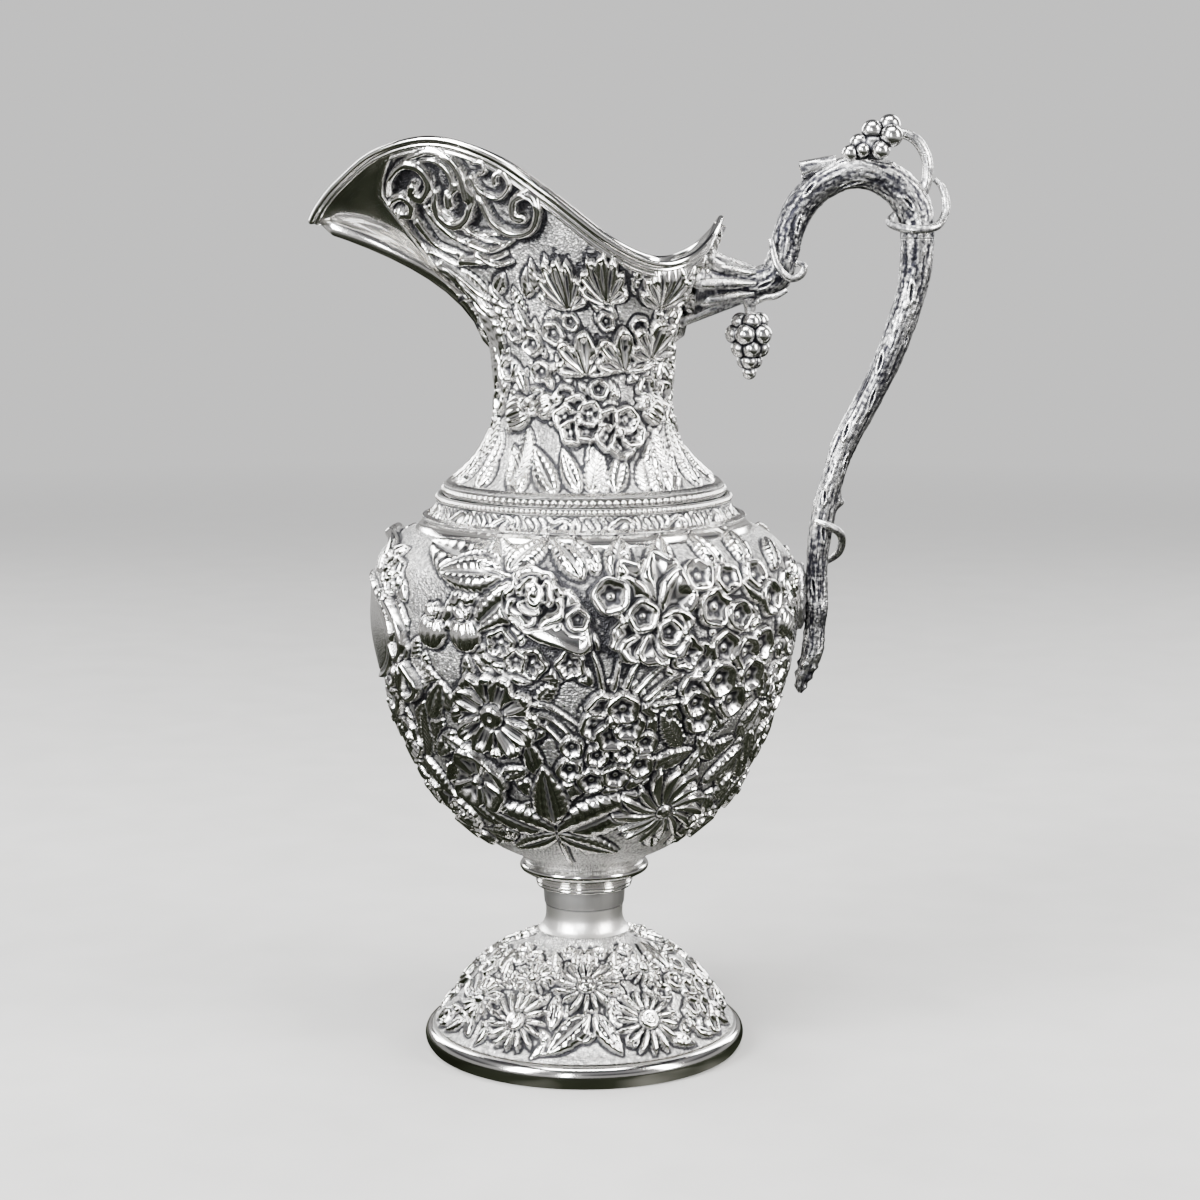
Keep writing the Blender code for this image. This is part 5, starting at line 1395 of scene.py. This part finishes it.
def twig_and_tendrils():
    rise = HANDLE_SPAN
    crown_x, crown_z = LIP_REACH + 0.66 * rise, ROOT_Z + 40
    twig = catmull([(crown_x - 18.4, 0, crown_z + 0.8, 1.1), (crown_x - 12, 0, crown_z + 2.3, 0.95),
                    (crown_x - 5.6, 0, crown_z + 3.4, 0.95)], 16)
    surface, ring, tangent = sweep(twig[:, :3], twig[:, 3] * 3.2, 48)
    rng = np.random.default_rng(5)
    grain = lattice_noise(surface.shape[:2], 12, 3, rng)
    surface = surface + ring * (0.16 * grain)[:, :, None]
    start = twig[0, :3]
    for share, push in ((0.72, -0.2), (0.62, 0.8), (0.38, 0.9), (0.30, 0.1), (0.12, 0.2)):
        loop = start + (surface[-len(twig)] - start) * share + tangent[0] * push
        surface = np.concatenate([loop[None], surface])
    rows = len(surface)
    quads, fans = tube_faces(rows, 48)
    dark = np.full((rows, 48), 0.3)
    # painted shade in the sunken ring of the stub's end; below, the bark is darker where its grain sinks
    dark[:5] = np.array([0.2, 0.5, 0.9, 0.7, 0.05])[:, None]
    dark[5:] = np.clip(0.45 - 0.5 * grain, 0, 1)
    verts = np.concatenate([surface.reshape(-1, 3), [start + tangent[0] * 0.3], twig[-1:, :3]])
    obj = make_mesh("twig_stub_bark", verts, quads,
                    {"tarnish_and_shade": np.concatenate([dark.reshape(-1), [0.2, 0.3]])}, fans)
    piece(obj, CAST, "cast_silver", "twig_stub")

    reach = BRANCH_R * 1.06 + GAP + 1.5 + 0.4
    x0, z0 = BRANCH_X - 0.4, ROOT_Z + 19.5
    vine("ring_tendril_wire", [(x0 - 7.6, 0.75 * reach, z0 + 5.5, 0.7),
                               (x0 - reach - 1.2, 0, z0 + 2.6, 1),
                               (x0 - 0.75 * reach, -0.75 * reach, z0 + 0.6, 1), (x0, -reach - 0.3, z0, 1),
                               (x0 + 0.75 * reach, -0.72 * reach, z0 + 1.2, 1),
                               (x0 + reach + 1.4, -1, z0 + 5.6, 1),
                               (x0 + reach + 1.9, 1.2, z0 + 10.6, 0.95),
                               (x0 + reach + 0.4, 3, z0 + 15.4, 0.8),
                               (x0 + reach - 2, 4.4, z0 + 18, 0.6),], "ring_tendril")
    vine("grape_tendril_wire", [(BRANCH_X - 9.0, 0, crown_z + 13.6, 0.8),
                                (BRANCH_X - 5.6, 0, crown_z + 14, 0.9),
                                (BRANCH_X - 0.6, 0, crown_z + 11.2, 1),
                                (BRANCH_X + 2.6, 0, crown_z + 5.4, 1),
                                (BRANCH_X + 3.2, 0, crown_z - 1, 1),
                                (BRANCH_X + 1.6, 0, crown_z - 7.5, 1),
                                (BRANCH_X - 0.6, 0, crown_z - 12, 0.8),], "grape_tendril", radius=2.0)
    clear = BRANCH_R + GAP + 1.5 + 0.2
    ex, ez = LIP_REACH + 0.325 * rise, ROOT_Z + 6
    vine("curl_tendril_wire", [(ex - 5.2, -0.72 * clear, ez + 10, 0.6),
                               (ex - 4.2, -0.9 * clear, ez + 4.5, 0.85),
                               (ex - 2.4, -1.1 * clear, ez - 0.6, 0.9),
                               (ex + 1.6, -1.06 * clear, ez - 4.2, 0.9),
                               (ex + 5.6, -0.98 * clear, ez - 3, 0.9), (ex + 6.8, -clear, ez + 0.2, 0.85),
                               (ex + 3.8, -clear, ez + 1.6, 0.8),], "curl_tendril")
    vine("vine_tendril_wire", [(ex + 0.6, -1.12 * clear, ez - 8.4, 0.6),
                               (ex - 3.4, -0.95 * clear, ez - 10.6, 0.8),
                               (ex - 7.6, -0.84 * clear, ez - 11.2, 0.8),
                               (ex - 11, -0.66 * clear, ez - 13.4, 0.7),], "vine_tendril")
    low = SHAFT_R + GAP + 1.5 + 0.3
    x1, z1 = SHAFT_X + 1.5, BELLY_Z + 22
    vine("lower_tendril_wire", [(x1 - 2.6, -0.95 * low, z1 + 8, 0.6),
                                (x1 + 1.6, -1.1 * low, z1 + 6.4, 0.9),
                                (x1 + low - 0.2, -0.75 * low, z1 + 3.6, 1), (x1 + low + 1.6, 0, z1, 1),
                                (x1 + low + 0.8, 0.45 * low, z1 - 5, 0.95),
                                (x1 + 0.5 * low, 1.05 * low, z1 - 9, 0.7),], "lower_tendril")


def handle_pad():
    """The leaf-shaped solder pad between the branch and the belly."""
    rows, columns = 60, 40
    v = np.linspace(-1, 1, rows)
    u = np.linspace(-1, 1, columns)
    half = 0.095 * np.sqrt(np.clip(1 - v**2, 0.04, 1))
    angle = half[:, None] * u[None, :]
    z = (BELLY_Z + 1 + 12.5 * v)[:, None] + 0 * angle
    bulge = 1.9 * (1 - 0.8 * u[None, :] ** 2) * np.sqrt(np.clip(1 - v[:, None] ** 2, 0,
            1)) + 0.2 * np.cos(18 * v[:, None] + 6 * np.abs(u[None, :]))
    outer = BODY_R + 0.8 + bulge
    inner = np.full_like(outer, BODY_R - 1.6)
    front = np.stack([outer * np.cos(angle), outer * np.sin(angle), z], axis=-1)
    back = np.stack([inner * np.cos(angle), inner * np.sin(angle), z], axis=-1)
    loop = np.concatenate([front, back[:, ::-1]], axis=1)
    verts = loop.reshape(-1, 3)
    width = 2 * columns
    quads = grid_faces(rows, width)
    ends = []
    for row in (0, rows - 1):
        base = row * width
        for c in range(columns - 1):
            face = [base + c, base + width - 1 - c, base + width - 2 - c, base + c + 1]
            ends.append(face if row == 0 else face[::-1])
    obj = make_mesh("handle_lower_pad_leaf", verts, np.concatenate([quads, np.array(ends)]),
                    {"tarnish_and_shade": np.full(len(verts), 0.3)})
    return piece(obj, CAST, "cast_silver", "handle_lower_pad")


# ---------------------------------------------------------------- stage
BACKDROP = (0.86, 0.855, 0.85, 1)


def mixed(tree, share, first, second):
    """The second shader where the share is 1, the first where it is 0."""
    node = add(tree, "ShaderNodeMixShader")
    for socket, source in zip(node.inputs, (share, first, second)):
        tree.links.new(source, socket)
    return node.outputs[0]


def rising(tree, source, start, end):
    """0 up to the start, 1 from the end on."""
    node = add(tree, "ShaderNodeMapRange", From_Min=start, From_Max=end)
    tree.links.new(source, node.inputs["Value"])
    return node.outputs["Result"]


def floor_paper():
    """Pale paper that fades into the backdrop; reflections see a dark cloth near the foot."""
    material, tree, shader = shader_nodes("floor_paper")
    link = tree.links.new
    grain = add(tree, "ShaderNodeTexNoise", Scale=220.0, Detail=3.0)
    pale = [(0.3, (0.34, 0.337, 0.33)), (0.7, (0.37, 0.367, 0.36))]
    link(ramp(tree, grain.outputs["Fac"], pale), shader.inputs["Base Color"])
    shader.inputs["Roughness"].default_value = 0.7

    position = add(tree, "ShaderNodeTexCoord").outputs["Object"]
    away = add(tree, "ShaderNodeVectorMath", operation="LENGTH")
    link(position, away.inputs[0])
    haze = add(tree, "ShaderNodeEmission", Color=BACKDROP)
    paper = mixed(tree, rising(tree, away.outputs["Value"], 0.5, 2.2), shader.outputs[0], haze.outputs[0])

    folds = add(tree, "ShaderNodeTexNoise", Scale=9.0, Detail=3.0, Roughness=0.6)
    link(position, folds.inputs["Vector"])
    tones = [(0.40, (0.012, 0.014, 0.008)), (0.56, (0.035, 0.04, 0.026)), (0.68, (0.24, 0.24, 0.21))]
    wall = add(tree, "ShaderNodeMixRGB", Color2=(0.55, 0.545, 0.54, 1))
    link(rising(tree, away.outputs["Value"], 0.55, 1.2), wall.inputs["Fac"])
    link(ramp(tree, folds.outputs["Fac"], tones), wall.inputs["Color1"])
    cloth = add(tree, "ShaderNodeEmission")
    link(wall.outputs["Color"], cloth.inputs["Color"])
    ray = add(tree, "ShaderNodeLightPath")
    both = mixed(tree, ray.outputs["Is Glossy Ray"], paper, cloth.outputs[0])
    link(both, tree.nodes["Material Output"].inputs["Surface"])
    return material


def floor():
    mesh = bpy.data.meshes.new("floor")
    half = 4.0
    corners = [(-half, -half, 0), (half, -half, 0), (half, half, 0), (-half, half, 0)]
    mesh.from_pydata(corners, [], [(0, 1, 2, 3)])
    obj = bpy.data.objects.new("floor", mesh)
    bpy.context.scene.collection.objects.link(obj)
    mesh.materials.append(floor_paper())


def studio():
    """A plain backdrop, an even fill light, and a banded room for the silver to mirror."""
    world = bpy.data.worlds.new("studio")
    world.use_nodes = True
    bpy.context.scene.world = world
    tree = world.node_tree
    tree.nodes.clear()
    link = tree.links.new
    out = add(tree, "ShaderNodeOutputWorld")
    seen = add(tree, "ShaderNodeBackground", Color=BACKDROP, Strength=1.0)
    soft = add(tree, "ShaderNodeBackground", Color=(0.95, 0.95, 0.95, 1), Strength=0.75)
    around = add(tree, "ShaderNodeBackground", Strength=0.5)
    place = add(tree, "ShaderNodeTexCoord")
    parts = add(tree, "ShaderNodeSeparateXYZ")
    link(place.outputs["Generated"], parts.inputs[0])
    height = add(tree, "ShaderNodeMath", operation="MULTIPLY_ADD")
    link(parts.outputs["Z"], height.inputs[0])
    height.inputs[1].default_value = 0.5
    height.inputs[2].default_value = 0.5
    bands = [(0.46, (0.02, 0.022, 0.016)), (0.50, (0.60, 0.59, 0.59)), (0.60, (0.75, 0.74, 0.74)),
             (0.68, (0.06, 0.06, 0.07)), (0.82, (0.50, 0.50, 0.52)), (0.90, (0.06, 0.06, 0.07))]
    link(ramp(tree, height.outputs[0], bands), around.inputs["Color"])
    ray = add(tree, "ShaderNodeLightPath")
    even = mixed(tree, ray.outputs["Is Diffuse Ray"], around.outputs[0], soft.outputs[0])
    link(mixed(tree, ray.outputs["Is Camera Ray"], even, seen.outputs[0]), out.inputs["Surface"])


def lights():
    x = AXIS_X * MM
    for name, place, size, power, colour in [
        ("key_left", (x - 1.0, -0.9, 0.85), (0.40, 1.0), 78, (1, 1, 1)),
        ("fill_right", (x + 1.2, -0.6, 0.75), (0.30, 1.0), 46, (1.0, 0.98, 0.96)),
        ("top", (x, -0.25, 1.3), (0.8, 0.4), 34, (1, 1, 1)),
        ("front_strip", (x - 0.35, -1.6, 0.55), (0.12, 0.7), 20, (0.97, 0.98, 1.0)),
        ("back_left", (x - 0.9, 1.0, 0.8), (0.4, 1.0), 26, (1, 1, 1)),
        ("back_right", (x + 0.9, 1.0, 0.8), (0.4, 1.0), 26, (1, 1, 1)),
    ]:
        light = bpy.data.lights.new(name, "AREA")
        light.shape = "RECTANGLE"
        light.size, light.size_y = size
        light.energy = power
        light.color = colour
        obj = bpy.data.objects.new(name, light)
        bpy.context.scene.collection.objects.link(obj)
        obj.location = place
        aim = Vector((x, 0, 0.18)) - Vector(place)
        obj.rotation_euler = aim.to_track_quat("-Z", "Y").to_euler()


def camera():
    data = bpy.data.cameras.new("camera")
    data.sensor_width = 36.0
    data.lens = 80.4  # fitted, with the place and tilt, to the ellipses of foot, shoulder and mouth
    obj = bpy.data.objects.new("camera", data)
    bpy.context.scene.collection.objects.link(obj)
    obj.location = ((AXIS_X + 6.0) * MM, -0.9926, 0.3244)
    obj.rotation_euler = (math.radians(90 - 8.80), 0, 0)
    bpy.context.scene.camera = obj


# ---------------------------------------------------------------- build
def chased_pieces():
    for name, relief, node, close_bottom, stipple in [
        ("body_chased", body_relief(), "body_shell", True, 0.14),
        ("foot_dome_chased", dome_relief(), "foot_dome", False, 0.12),
        ("shoulder_band_engraved", band_relief(), "shoulder_band", False, 0.05),
        ("neck_chased", neck_relief(), "neck_shell", False, 0.12),
    ]:
        relief.h = RELIEF * relief.h + GROUND_LEVEL
        tarnish_and_shade = relief.finish(stipple, LOWEST, HIGHEST)
        piece(sheet_piece(name, relief, tarnish_and_shade, close_bottom), CHASED, "chased_silver", node)


chased_pieces()
turned_pieces()
bead_row("lower_bead_wire", "lower_beads")
bead_row("upper_bead_wire", "upper_beads")
mouth_rim()
handle_branch()
calyx_strands()
handle_pad()
grapes()
twig_and_tendrils()
floor()
studio()
lights()
camera()
